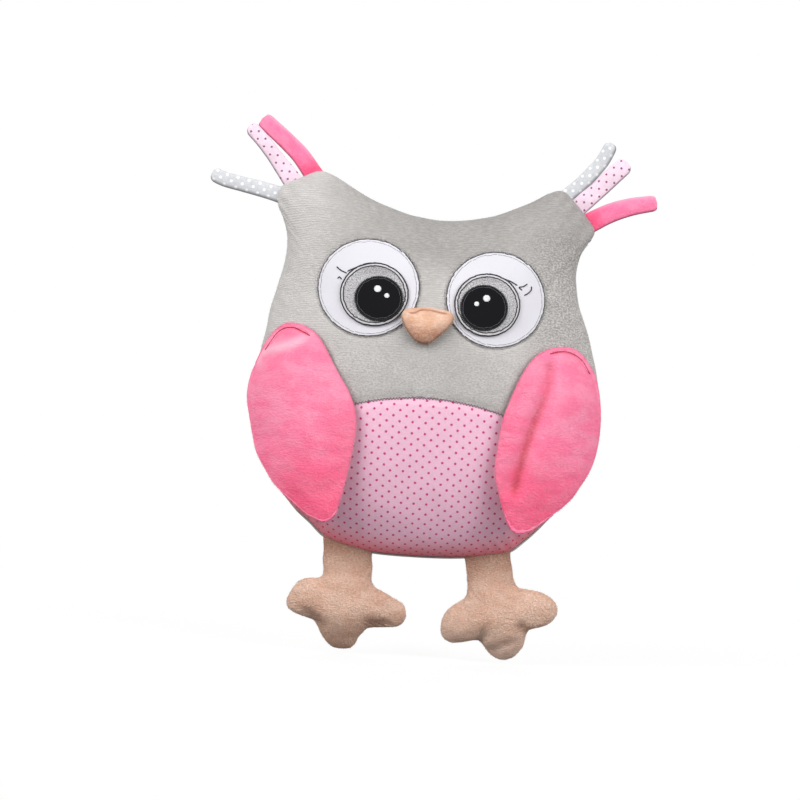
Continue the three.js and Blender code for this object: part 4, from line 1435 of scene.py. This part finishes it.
def ring_of(centre, radii, inset, count=240):
    angles = np.linspace(0, 2 * math.pi, count, endpoint=False)
    return np.stack([
        centre[0] + (radii[0] - inset) * np.cos(angles),
        centre[1] + (radii[1] - inset) * np.sin(angles),
    ], axis=1)


def felt_round(name, centre, radii, ground, material):
    """A thin round of fabric on whatever lies below it, with a rounded edge."""
    reach = np.sin(np.linspace(0, math.pi / 2, EYE_RINGS + 1))[:, None]
    angles = np.linspace(0, 2 * math.pi, EYE_SECTORS, endpoint=False)
    x = centre[0] + radii[0] * reach * np.cos(angles)
    z = centre[1] + radii[1] * reach * np.sin(angles)
    under = ground.fronts(x, z) - TOUCH_GAP
    from_edge = np.clip(min(radii) * (1 - reach) / FELT, 0, 1)
    crown = np.sqrt(from_edge * (2 - from_edge))
    over = under - FELT * (FELT_EDGE_SHARE + (1 - FELT_EDGE_SHARE) * crown)
    return new_piece(name, closed_mesh(name, x, over, under, z), material), Surface(x, over, z)


def glint(name, centre, radius, ground):
    """A small satin-stitched dome: parallel stitches across a round spot."""
    satin = Stitches()
    for row in range(GLINT_ROWS):
        height = radius * (2 * (row + 0.5) / GLINT_ROWS - 1)
        half = math.sqrt(radius * radius - height * height)
        stations = np.linspace(-half, half, 5)
        dome = GLINT_RISE * np.sqrt(np.clip(1 - (stations**2 + height**2) / radius**2, 0, 1))
        spots = [
            ground.above(centre[0] + station, centre[1] + height, GLINT_LIFT + rise)
            for station, rise in zip(stations, dome)
        ]
        satin.add(spots, radius / GLINT_ROWS * GLINT_OVERLAP)
    satin.piece(name, WHITE_THREAD, "torso", "white_felt")


# Embroidered lashes: an arc that leaves the iris, a flick at its end, and one or two below it
LASHES = {
    "left": [
        [(-0.0315, 0.0669), (-0.0364, 0.0663), (-0.0406, 0.0649), (-0.045, 0.063), (-0.0478, 0.0615)],
        [(-0.0539, 0.0634), (-0.0517, 0.0617), (-0.0487, 0.0605)],
        [(-0.053, 0.0573), (-0.0523, 0.058), (-0.0511, 0.057)],
    ],
    "right": [
        [(0.0295, 0.0652), (0.0345, 0.0641), (0.0373, 0.063), (0.0408, 0.062), (0.0446, 0.0601)],
        [(0.0502, 0.061), (0.0483, 0.0596), (0.046, 0.0589), (0.0474, 0.0577)],
        [(0.0528, 0.0597), (0.0527, 0.058), (0.0509, 0.0559), (0.0493, 0.0549)],
    ],
}

# Glints: each one's place from the pupil's middle, inwards and up, and its radius; and its rows of
# stitches, how much they overlap, and how high they lie and rise
GLINTS = {"large": (-0.001, 0.0052, 0.0017), "small": (0.0042, 0.0018, 0.0012)}
GLINT_ROWS = 7
GLINT_OVERLAP = 1.2
GLINT_LIFT = 0.00015
GLINT_RISE = 0.00045

EYE_LAYERS = {
    "white": (WHITE_FELT, "white_felt"),
    "iris": (IRIS_FABRIC, "iris_fabric"),
    "pupil": (BLACK_FABRIC, "black_fabric"),
}

# Running lines round each eye: the round, how far inside its edge, the line and its seed
EYE_EDGE_LINES = [
    ("white", 0.0002, Line(0.0017, 0.0003, 0.00024, 0.00003, 0.0001), 1),
    ("iris", 0.0003, Line(0.0013, 0.0001, 0.00042, 0.00003, 0.00006), 2),
    ("iris", 0.0018, Line(0.0011, 0.0003, 0.0003, 0.00003, 0.00011), 3),
]
EYE_SHADOW_LINES = [("white", 0.0015, Line(0.0026, 0.0003, 0.00014, 0.00002, 0.00012), 8)]
PUPIL_LINES = [("pupil", 0.0012, Line(0.002, 0.0004, 0.00014, 0.00002, 0.0001), 9)]
LASH_LINE = Line(0.0015, 0.0001, 0.00035, 0.0001)


def eye_lines(side, ground, lines):
    """Running lines round one eye's layers."""
    stitches = Stitches()
    for layer, inset, line, seed in lines:
        running(stitches, ground, ring_of(*EYES[side][layer], inset), line, closed=True, seed=seed)
    return stitches


def sew_eye(side):
    """Three rounds of fabric, the face's pile round them, their stitches, lashes and glints."""
    layers = [face_surface]
    for layer, (centre, radii) in EYES[side].items():
        material, slot = EYE_LAYERS[layer]
        made, top = felt_round(f"eye_{side}_{layer}", centre, radii, layers[-1], material)
        set_up(made, "torso", f"eye_{layer}_{side}", slot)
        layers.append(top)
    ground = Layered(layers)
    white, pupil = EYES[side]["white"], EYES[side]["pupil"]

    rim = ring_of(*white, -EYE_PILE_OUTSET, count=EYE_SECTORS)[::-1]
    rim_y = face_surface.fronts(rim[:, 0], rim[:, 1]) - EYE_PILE_LIFT
    fringe(f"eye_{side}_pile", rim, rim_y, grey_plush, "torso", seed=12, length=0.0011)

    edging = eye_lines(side, ground, EYE_EDGE_LINES)
    zigzag(
        edging, ground, ring_of(*pupil, inset=0.0001),
        pitch=0.0005, reach=0.0006, radius=0.00026, lift=0.00003, closed=True, seed=4,
    )
    for number, spots in enumerate(LASHES[side]):
        running(edging, ground, smooth_path(spots), LASH_LINE, seed=5 + number)
    edging.piece(f"eye_{side}_dark_stitches", DARK_THREAD, "torso", "black_fabric")
    shadowing = eye_lines(side, ground, EYE_SHADOW_LINES)
    shadowing.piece(f"eye_{side}_grey_stitches", GREY_THREAD, "torso", "iris_fabric")
    inner = eye_lines(side, ground, PUPIL_LINES)
    inner.piece(f"eye_{side}_pupil_stitches", INK_THREAD, "torso", "black_fabric")

    pupil_x, pupil_z = pupil[0]
    for size, (inwards, above, radius) in GLINTS.items():
        spot = (pupil_x - SIDES[side] * inwards, pupil_z + above)
        glint(f"eye_{side}_glint_{size}", spot, radius, ground)


for side in SIDES:
    sew_eye(side)


# Beak, wings and legs: two skins round a filling

def sewn_pair(prefix, pillow, front_y, back_y, fabric, body_name, filling_node, shades_and_ruffles):
    """The front and back skins of a stuffed part, and its filling."""
    for side, y, seed in (("front", front_y, 2.0), ("back", back_y, 6.0)):
        name = f"{prefix}_{side}_skin"
        y = pillow.with_pile(y, fabric.pile, seed)
        mesh = skin_mesh(name, pillow.x, y, pillow.z, side == "back", shades_and_ruffles if side == "front" else None)
        sew_skin(name, mesh, fabric, body_name, f"{prefix}_{side}")
    filling_of(f"{prefix}_filling", pillow, front_y, back_y, fabric.thickness, body_name, filling_node)


def dent(pillow, path, crease):
    """How deep in a crease along a path each spot lies, from 0 beside it to 1 in it."""
    gap, along = distance_to(path, pillow.x, pillow.z)
    return near(gap, crease.width) * smoothstep(np.minimum(along, 1 - along), 0, crease.fade)


def stuffed(pillow, front_depth, back_depth, middle, cloth):
    """Both skins' Y round a middle sheet, blown up."""
    front, back = pillow.skin(front_depth, -1, middle), pillow.skin(back_depth, 1, middle)
    return blown_up(pillow, front, back, *cloth)


def sew_beak():
    """The beak leans out from the face below its top seam, and is creased along that seam. It
    takes a painted shade in the crease, towards its tip and along its lower edge.
    """
    hub = boxed("beak_front", [BEAK_HUB_SHARES])[0]
    beak = Pillow(boxed("beak_front", BEAK_SHARES), hub, BEAK_SECTORS, BEAK_RINGS)
    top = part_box("beak_front")[1]
    below = np.clip(top.z - beak.z, 0, None)
    middle = top.y - below * math.tan(BEAK_TILT)
    crease = dent(beak, smooth_path(boxed("beak_front", BEAK_CREASE_SHARES)), BEAK_CREASE)
    front, back = stuffed(beak, BEAK_FRONT, BEAK_BACK, middle, BEAK_CLOTH)
    front = front + (BEAK_CREASE.depth * crease + beak.gathers(*BEAK_GATHERS))
    height, grain, seed = BEAK_LUMPS
    front += height * lumps(beak.x, front, beak.z, grain, seed) * beak.full

    # Painted shade in the crease, towards the tip and along the lower edge
    tip = smoothstep(below, *BEAK_TIP_BELOW)
    edge = near(beak.from_seam(), BEAK_EDGE_WIDTH) * smoothstep(below, *BEAK_EDGE_BELOW)
    shades_and_ruffles = painted_shades_and_ruffles(beak.x, 0.7 * crease + 0.15 * tip, 0.6 * edge + 0.2 * crease, ruffled=0.8 * tip)
    sewn_pair("beak", beak, front, back, peach_velour, "beak", "beak_stuffing", shades_and_ruffles)
    free = below[-1] > BEAK_PILE_BELOW
    fringe("beak_pile", beak.loop, middle[-1], peach_velour, "beak", seed=13, length=0.0012, wanted=free)


sew_beak()


TACK_LINE = Line(0.0021, 0.0004, 0.00032, 0.0004)


def wing_middle(x, z, sign):
    """Y of the sheet between a wing's skins: on the body along the seam, and clear of it below."""
    top_x, top_z = boxed("wing_right_front", [WING_SEAM_TOP_SHARES])[0]
    below = top_z - z - (sign * x - top_x) * math.tan(WING_SEAM_SLOPE)
    below = below * math.cos(WING_SEAM_SLOPE)
    grip = 1 - smoothstep(below, 0, WING_GRIP)
    across = np.minimum(sign * x / (WING_DRAPE_SHARE * half_width), 1)
    free = (front_depth + WING_STAND_OFF) * np.sqrt(1 - across**2)
    seated = -face_surface.fronts(x, z) + 2 * TOUCH_GAP + WING_BACK * grip * (1 - grip)
    return -(free * (1 - grip) + np.maximum(seated, 0) * grip)


def sew_wing(side, sign):
    """The left wing stands out in a ridge along a fold at its top, with a painted highlight on it,
    and the right has a valley down it, with a painted shade along its line. Both take a painted
    shade in the tack seam's dent, towards the tip and on the inner side.
    """
    name, node = f"wing_{side}", f"wing_{side}_front"
    hub = boxed(node, [WING_HUB_SHARES], sign)[0]
    wing = Pillow(boxed(node, WING_SHARES[side], sign), hub, WING_SECTORS, WING_RINGS)
    middle = wing_middle(wing.x, wing.z, sign)
    front, back = stuffed(wing, WING_FRONT, WING_BACK, middle, LIMB_CLOTH)
    arc = smooth_path(boxed(node, WING_STITCH_SHARES[side], sign))
    tack = dent(wing, arc, WING_TACK)
    front = front + WING_TACK.depth * tack
    fold = smooth_path(boxed(node, WING_FOLD_SHARES[side], sign))
    tip = wing.loop[wing.loop[:, 1].argmin()]
    from_tip = np.hypot(wing.x - tip[0], wing.z - tip[1])
    # Painted shade in the tack seam's dent and towards the tip, and a painted crease shade in the dent
    deep = np.maximum(0.9 * tack, 0.5 * smoothstep(from_tip, *WING_TIP_SHADE))
    crease = 0.3 * tack
    pale = np.zeros_like(wing.x)
    if side == "right":
        valley = dent(wing, fold, RIGHT_WING_VALLEY)
        front += RIGHT_WING_VALLEY.depth * valley
        back = back + RIGHT_WING_VALLEY_BACK * valley
        faint = 1 - 0.55 * smoothstep(wing.z, *RIGHT_WING_FAINT_UP)
        # A painted shade along the valley's line, fainter towards the top, and painted shade on the
        # inner side
        crease += 0.65 * faint * dent(wing, fold, RIGHT_WING_LINE)
        deep = np.maximum(deep, 0.22 * smoothstep(wing.x, *RIGHT_WING_SHADE_ACROSS))
    else:
        # The fold stands out as a ridge with a painted highlight on it, and painted shade lies low on
        # the inner side
        pale = dent(wing, fold, LEFT_WING_FOLD)
        front -= LEFT_WING_FOLD.depth * pale
        inner = smoothstep(wing.x, *LEFT_WING_SHADE_ACROSS) * smoothstep(wing.z, *LEFT_WING_SHADE_UP)
        deep = np.maximum(deep, 0.3 * inner)
    ruffled = 0.3 * smoothstep(sign * wing.x, *WING_RUFFLED_ACROSS)
    shades_and_ruffles = painted_shades_and_ruffles(wing.x, deep, crease, 0.62 * pale, ruffled)
    front += wing.swelling(front, *WING_LUMPS[side]) + wing.gathers(*WING_GATHERS)
    back = np.minimum(back, face_surface.fronts(wing.x, wing.z, beside=math.inf) - TOUCH_GAP)
    front = np.minimum(front, back - SEAM_GAP - 2 * WING_SKIN * wing.full)

    sewn_pair(name, wing, front, back, pink_plush, name, f"{name}_wadding", shades_and_ruffles)
    fringe(f"{name}_pile", wing.loop, middle[-1], pink_plush, name, seed=7, length=0.0012)
    tacking = Stitches()
    running(tacking, Surface(wing.x, front, wing.z), arc, TACK_LINE, seed=11)
    tacking.piece(f"{name}_seam_stitches", PINK_THREAD, name, "pink_plush")


# How strong the painted shade and the painted highlight on each foot's toes are
TOE_SHADES = {"left": (0.28, 0.0), "right": (0.0, 0.45)}


def sew_leg(side, sign):
    """A leg is flat at the hip, and its foot swells, curls back and is creased between the toes. It
    takes a painted shadow at the hip below the body and a painted shade in its creases, with a
    painted shade under the left foot's toes and a painted highlight on the right foot's.
    """
    name, node = f"leg_{side}", f"leg_{side}_front"
    low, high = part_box(node)
    hub = boxed(node, [LEG_HUB_SHARES[side]], sign)[0]
    leg = Pillow(boxed(node, LEG_SHARES[side], sign), hub, LEG_SECTORS, LEG_RINGS)
    taper = HIP_FLAT_SHARE + (1 - HIP_FLAT_SHARE) * np.clip((high.z - leg.z) / HIP_TAPER, 0, 1)
    depth = (LEG_DEPTH - SEAM_GAP) / 2 * taper
    under = smoothstep(leg.z, low.z + FOOT_CURL_SHARE * (high.z - low.z), low.z)
    swell = smoothstep(leg.z, high.z - FOOT_SWELL_MARGIN, low.z + FOOT_SWELL_MARGIN)
    middle = FOOT_CURLS[side] * under - FOOT_SWELL * swell * leg.full
    front, back = stuffed(leg, depth, depth, middle, LIMB_CLOTH)
    soft = leg.swelling(front, *LEG_LUMPS[side])
    folds = np.zeros_like(leg.x)
    for shares in FOOT_CREASE_SHARES[side]:
        path = smooth_path(boxed(node, shares, sign))
        folds = np.maximum(folds, dent(leg, path, FOOT_CREASE))
    front = front + (soft + leg.gathers(*LEG_GATHERS["front"]) + FOOT_CREASE.depth * folds)
    back = back - (soft + leg.gathers(*LEG_GATHERS["back"]))

    # A painted shadow at the hip below the body, painted shade in the creases, and the toes' painted
    # shade and painted highlight
    hip = smoothstep(leg.z, high.z - HIP_SHADE, high.z)
    toe_shade, toe_highlight = TOE_SHADES[side]
    deep = 0.25 * folds + toe_shade * under + 0.48 * hip
    shades_and_ruffles = painted_shades_and_ruffles(leg.x, deep, 0.3 * folds, toe_highlight * under, ruffled=0.45)
    sewn_pair(name, leg, front, back, beige_plush, name, f"{name}_stuffing", shades_and_ruffles)
    free = leg.loop[:, 1] < high.z - HIP_TAPER * HIP_BARE_SHARE
    fringe(f"{name}_pile", leg.loop, middle[-1], beige_plush, name, seed=8, length=0.0007, wanted=free)


for sew in (sew_wing, sew_leg):
    for side, sign in SIDES.items():
        sew(side, sign)


# Ear tufts: sewn ribbons, turned right side out, a little fuller than flat. Each ribbon has its
# middle line from inside the ear to its tip, its widths on the way, and how square its tip is.
RIBBONS = {
    "left": {
        "pink": (
            [
                (-0.0699, 0.1136), (-0.0718, 0.1159), (-0.0791, 0.1251), (-0.0862, 0.1316),
                (-0.1016, 0.1442),
            ],
            [0.0107, 0.0098, 0.0092], 3.5,
        ),
        "dotted": (
            [
                (-0.0804, 0.1081), (-0.0823, 0.1104), (-0.0954, 0.1261), (-0.1004, 0.1318),
                (-0.1084, 0.1397),
            ],
            [0.0112, 0.0082, 0.008], 2.2,
        ),
        "grey": (
            [
                (-0.0858, 0.101), (-0.0882, 0.1022), (-0.0983, 0.1047), (-0.1104, 0.1071),
                (-0.1205, 0.1092), (-0.1277, 0.1121),
            ],
            [0.0093, 0.0085, 0.0082], 2.2,
        ),
    },
    "right": {
        "grey": (
            [
                (0.0685, 0.1114), (0.0707, 0.1134), (0.0766, 0.1188), (0.084, 0.1272),
                (0.0889, 0.1339), (0.0933, 0.1436),
            ],
            [0.0078, 0.008, 0.0075], 2.2,
        ),
        "dotted": (
            [(0.0759, 0.1056), (0.078, 0.1078), (0.0896, 0.1199), (0.1026, 0.1334)],
            [0.01, 0.0102, 0.0098], 2.6,
        ),
        "pink": (
            [
                (0.0823, 0.0977), (0.0849, 0.0992), (0.0949, 0.1048), (0.106, 0.1089),
                (0.1204, 0.1122),
            ],
            [0.0116, 0.0104, 0.0087], 3.5,
        ),
    },
}
RIBBON_FINISH = {
    "pink": (PINK_VELOUR, "pink_ribbon"),
    "dotted": (DOTTED_RIBBON, "dotted_ribbon"),
    "grey": (GREY_RIBBON, "grey_ribbon"),
}


def ribbon_mesh(name, points, widths, squareness, print_shift):
    """A flat tube along a path in the ear's plane, pressed flat where the ear's seam holds it. It
    takes a painted shade towards its root and along its lower edge, and a painted highlight along
    its upper edge.
    """
    path = evenly(smooth_path(points), RIBBON_STATIONS)
    length = length_of(path)
    share = np.linspace(0, 1, RIBBON_STATIONS)
    steps = np.gradient(path, axis=0)
    steps /= np.linalg.norm(steps, axis=1)[:, None]
    across = np.stack([steps[:, 1], -steps[:, 0]], axis=1)
    width = np.interp(share, np.linspace(0, 1, len(widths)), widths)
    from_tip = np.clip((1 - share) * length / (width / 2), 0, 1)
    tip = np.maximum(1 - (1 - from_tip) ** squareness, 0) ** (1 / squareness)
    from_root = smoothstep(share * length, 0, RIBBON_ROOT)
    thickness = (RIBBON_ROOT_THICKNESS + (RIBBON_THICKNESS - RIBBON_ROOT_THICKNESS) * from_root) * tip
    angles = 2 * math.pi * np.arange(RIBBON_SIDES) / RIBBON_SIDES
    puff = np.sign(np.sin(angles)) * np.abs(np.sin(angles)) ** 0.8
    aside = np.cos(angles) * (width / 2 * tip)[:, None]
    wave = RIBBON_WAVE * np.sin(share * 11 + widths[0] * 900) * from_root * tip
    y = puff * (thickness / 2)[:, None] + wave[:, None]
    spots = path[:, None, :] + across[:, None, :] * aside[..., None]
    tube = np.stack([spots[..., 0], y, spots[..., 1]], axis=-1)
    girth = np.linalg.norm(np.diff(tube, axis=1, append=tube[:, :1]), axis=2)
    turned = np.cumsum(girth, axis=1) - girth / 2
    turned -= turned[:, RIBBON_SIDES * 3 // 4][:, None]
    lower = -np.sign(across[:, 1])[:, None]
    from_edge = (1 - lower * np.cos(angles)) * (width / 2)[:, None]
    along = np.broadcast_to((share * length)[:, None], turned.shape)
    places = np.stack([along, turned + print_shift, from_edge], axis=-1)
    # Painted shade towards the root and along the lower edge, and a painted highlight along the upper
    # edge
    root = smoothstep(share * length, 0.4 * length, 0)[:, None]
    edge_shade = 0.7 * near(from_edge, RIBBON_EDGE_SHADE)
    crown = 0.35 * near(width[:, None] - from_edge, RIBBON_HIGHLIGHT)
    shades_and_ruffles = painted_shades_and_ruffles(along, 0.6 * root, edge_shade, crown * (1 - root))
    faces = []
    for k in range(RIBBON_STATIONS - 1):
        for j in range(RIBBON_SIDES):
            a, b = k * RIBBON_SIDES + j, k * RIBBON_SIDES + (j + 1) % RIBBON_SIDES
            faces.append((a, b, b + RIBBON_SIDES, a + RIBBON_SIDES))
    last = (RIBBON_STATIONS - 1) * RIBBON_SIDES
    faces.append(tuple(reversed(range(RIBBON_SIDES))))
    faces.append(tuple(range(last, last + RIBBON_SIDES)))
    return new_mesh(name, tube.reshape(-1, 3), faces, places.reshape(-1, 3), shades_and_ruffles.reshape(-1, 4))


for side, ribbons in RIBBONS.items():
    for colour, (points, widths, squareness) in ribbons.items():
        material, slot = RIBBON_FINISH[colour]
        name, tuft = f"ribbon_{side}_{colour}", f"tuft_{side}_{colour}"
        print_shift = PRINT_SHIFT if tuft == "tuft_left_dotted" else 0.0
        ribbon = new_piece(name, ribbon_mesh(name, points, widths, squareness, print_shift), material)
        set_up(ribbon, tuft, tuft, slot)


# Stage: white floor, soft lamps and the photograph's camera

WHITE = (1.0, 1.0, 1.0, 1.0)
GROUND_LIT = (0.25, 0.25, 0.25, 1.0)
GROUND_SHOWN = (0.9, 0.9, 0.9, 1.0)


def white_ground():
    """A pale floor that fades into the white backdrop behind the object. Its own colour is a
    plain light grey, so that little light comes back up from it."""
    finish = Finish("white_ground")
    seen = finish.node("ShaderNodeLightPath", {}, {}, output="Is Camera Ray")
    place = finish.node("ShaderNodeTexCoord", {}, {}, output="Object")
    reach = finish.node("ShaderNodeVectorMath", {"operation": "LENGTH"}, {0: place}, output="Value")
    colour = finish.blend(seen, GROUND_LIT, GROUND_SHOWN)
    diffuse = finish.node("ShaderNodeBsdfDiffuse", {}, {"Color": colour})
    glow = finish.node("ShaderNodeEmission", {}, {"Color": WHITE, "Strength": 1.0})
    faded = reach.step(*FLOOR_FADE) * (1 - FLOOR_GLOW) + FLOOR_GLOW
    chosen = finish.node("ShaderNodeMixShader", {}, {0: seen * faded, 1: diffuse, 2: glow})
    return finish.finished(chosen)


def studio_world():
    """Soft light from all round, and plain white where the camera sees it."""
    finish = Finish("studio", "worlds")
    lit = finish.node("ShaderNodeBackground", {}, {"Color": WHITE, "Strength": WORLD_STRENGTH})
    shown = finish.node("ShaderNodeBackground", {}, {"Color": WHITE, "Strength": 1.0})
    seen = finish.node("ShaderNodeLightPath", {}, {}, output="Is Camera Ray")
    chosen = finish.node("ShaderNodeMixShader", {}, {0: seen, 1: lit, 2: shown})
    return finish.finished(chosen, "ShaderNodeOutputWorld")


def lamp(name, place, power):
    """A round soft lamp that faces the object."""
    light = bpy.data.lights.new(name, "AREA")
    light.shape = "DISK"
    light.size = LAMP_SIZE
    light.energy = power
    made = bpy.data.objects.new(name, light)
    made.location = place
    made.rotation_euler = (-Vector(place)).to_track_quat("-Z", "Y").to_euler()
    bpy.context.scene.collection.objects.link(made)


def photo_camera():
    """Level with the object and rolled, with the origin where the photograph has it."""
    camera = bpy.data.cameras.new("camera")
    camera.lens = CAMERA_LENS
    camera.sensor_width = CAMERA_SENSOR
    viewer = bpy.data.objects.new("camera", camera)
    bpy.context.scene.collection.objects.link(viewer)
    metres_per_pixel = CAMERA_DISTANCE * CAMERA_SENSOR / CAMERA_LENS / PHOTO_PIXELS
    aside = (PHOTO_ORIGIN[0] - PHOTO_PIXELS / 2) * metres_per_pixel
    above = (PHOTO_PIXELS / 2 - PHOTO_ORIGIN[1]) * metres_per_pixel
    turn = Matrix.Rotation(math.pi / 2, 4, "X") @ Matrix.Rotation(PHOTO_ROLL, 4, "Z")
    viewer.matrix_world = turn @ Matrix.Translation((-aside, -above, CAMERA_DISTANCE))
    return viewer


floor_z = cad_bounds[0][2] - TOUCH_GAP
corners = [(x * FLOOR_REACH, y * FLOOR_REACH, floor_z) for x, y in ((-1, -1), (1, -1), (1, 1), (-1, 1))]
floor = new_piece("floor", new_mesh("floor", corners, [(0, 1, 2, 3)]), white_ground())
bpy.context.scene.world = studio_world()
for name, (place, power) in LAMPS.items():
    lamp(name, place, power)
bpy.context.scene.camera = photo_camera()
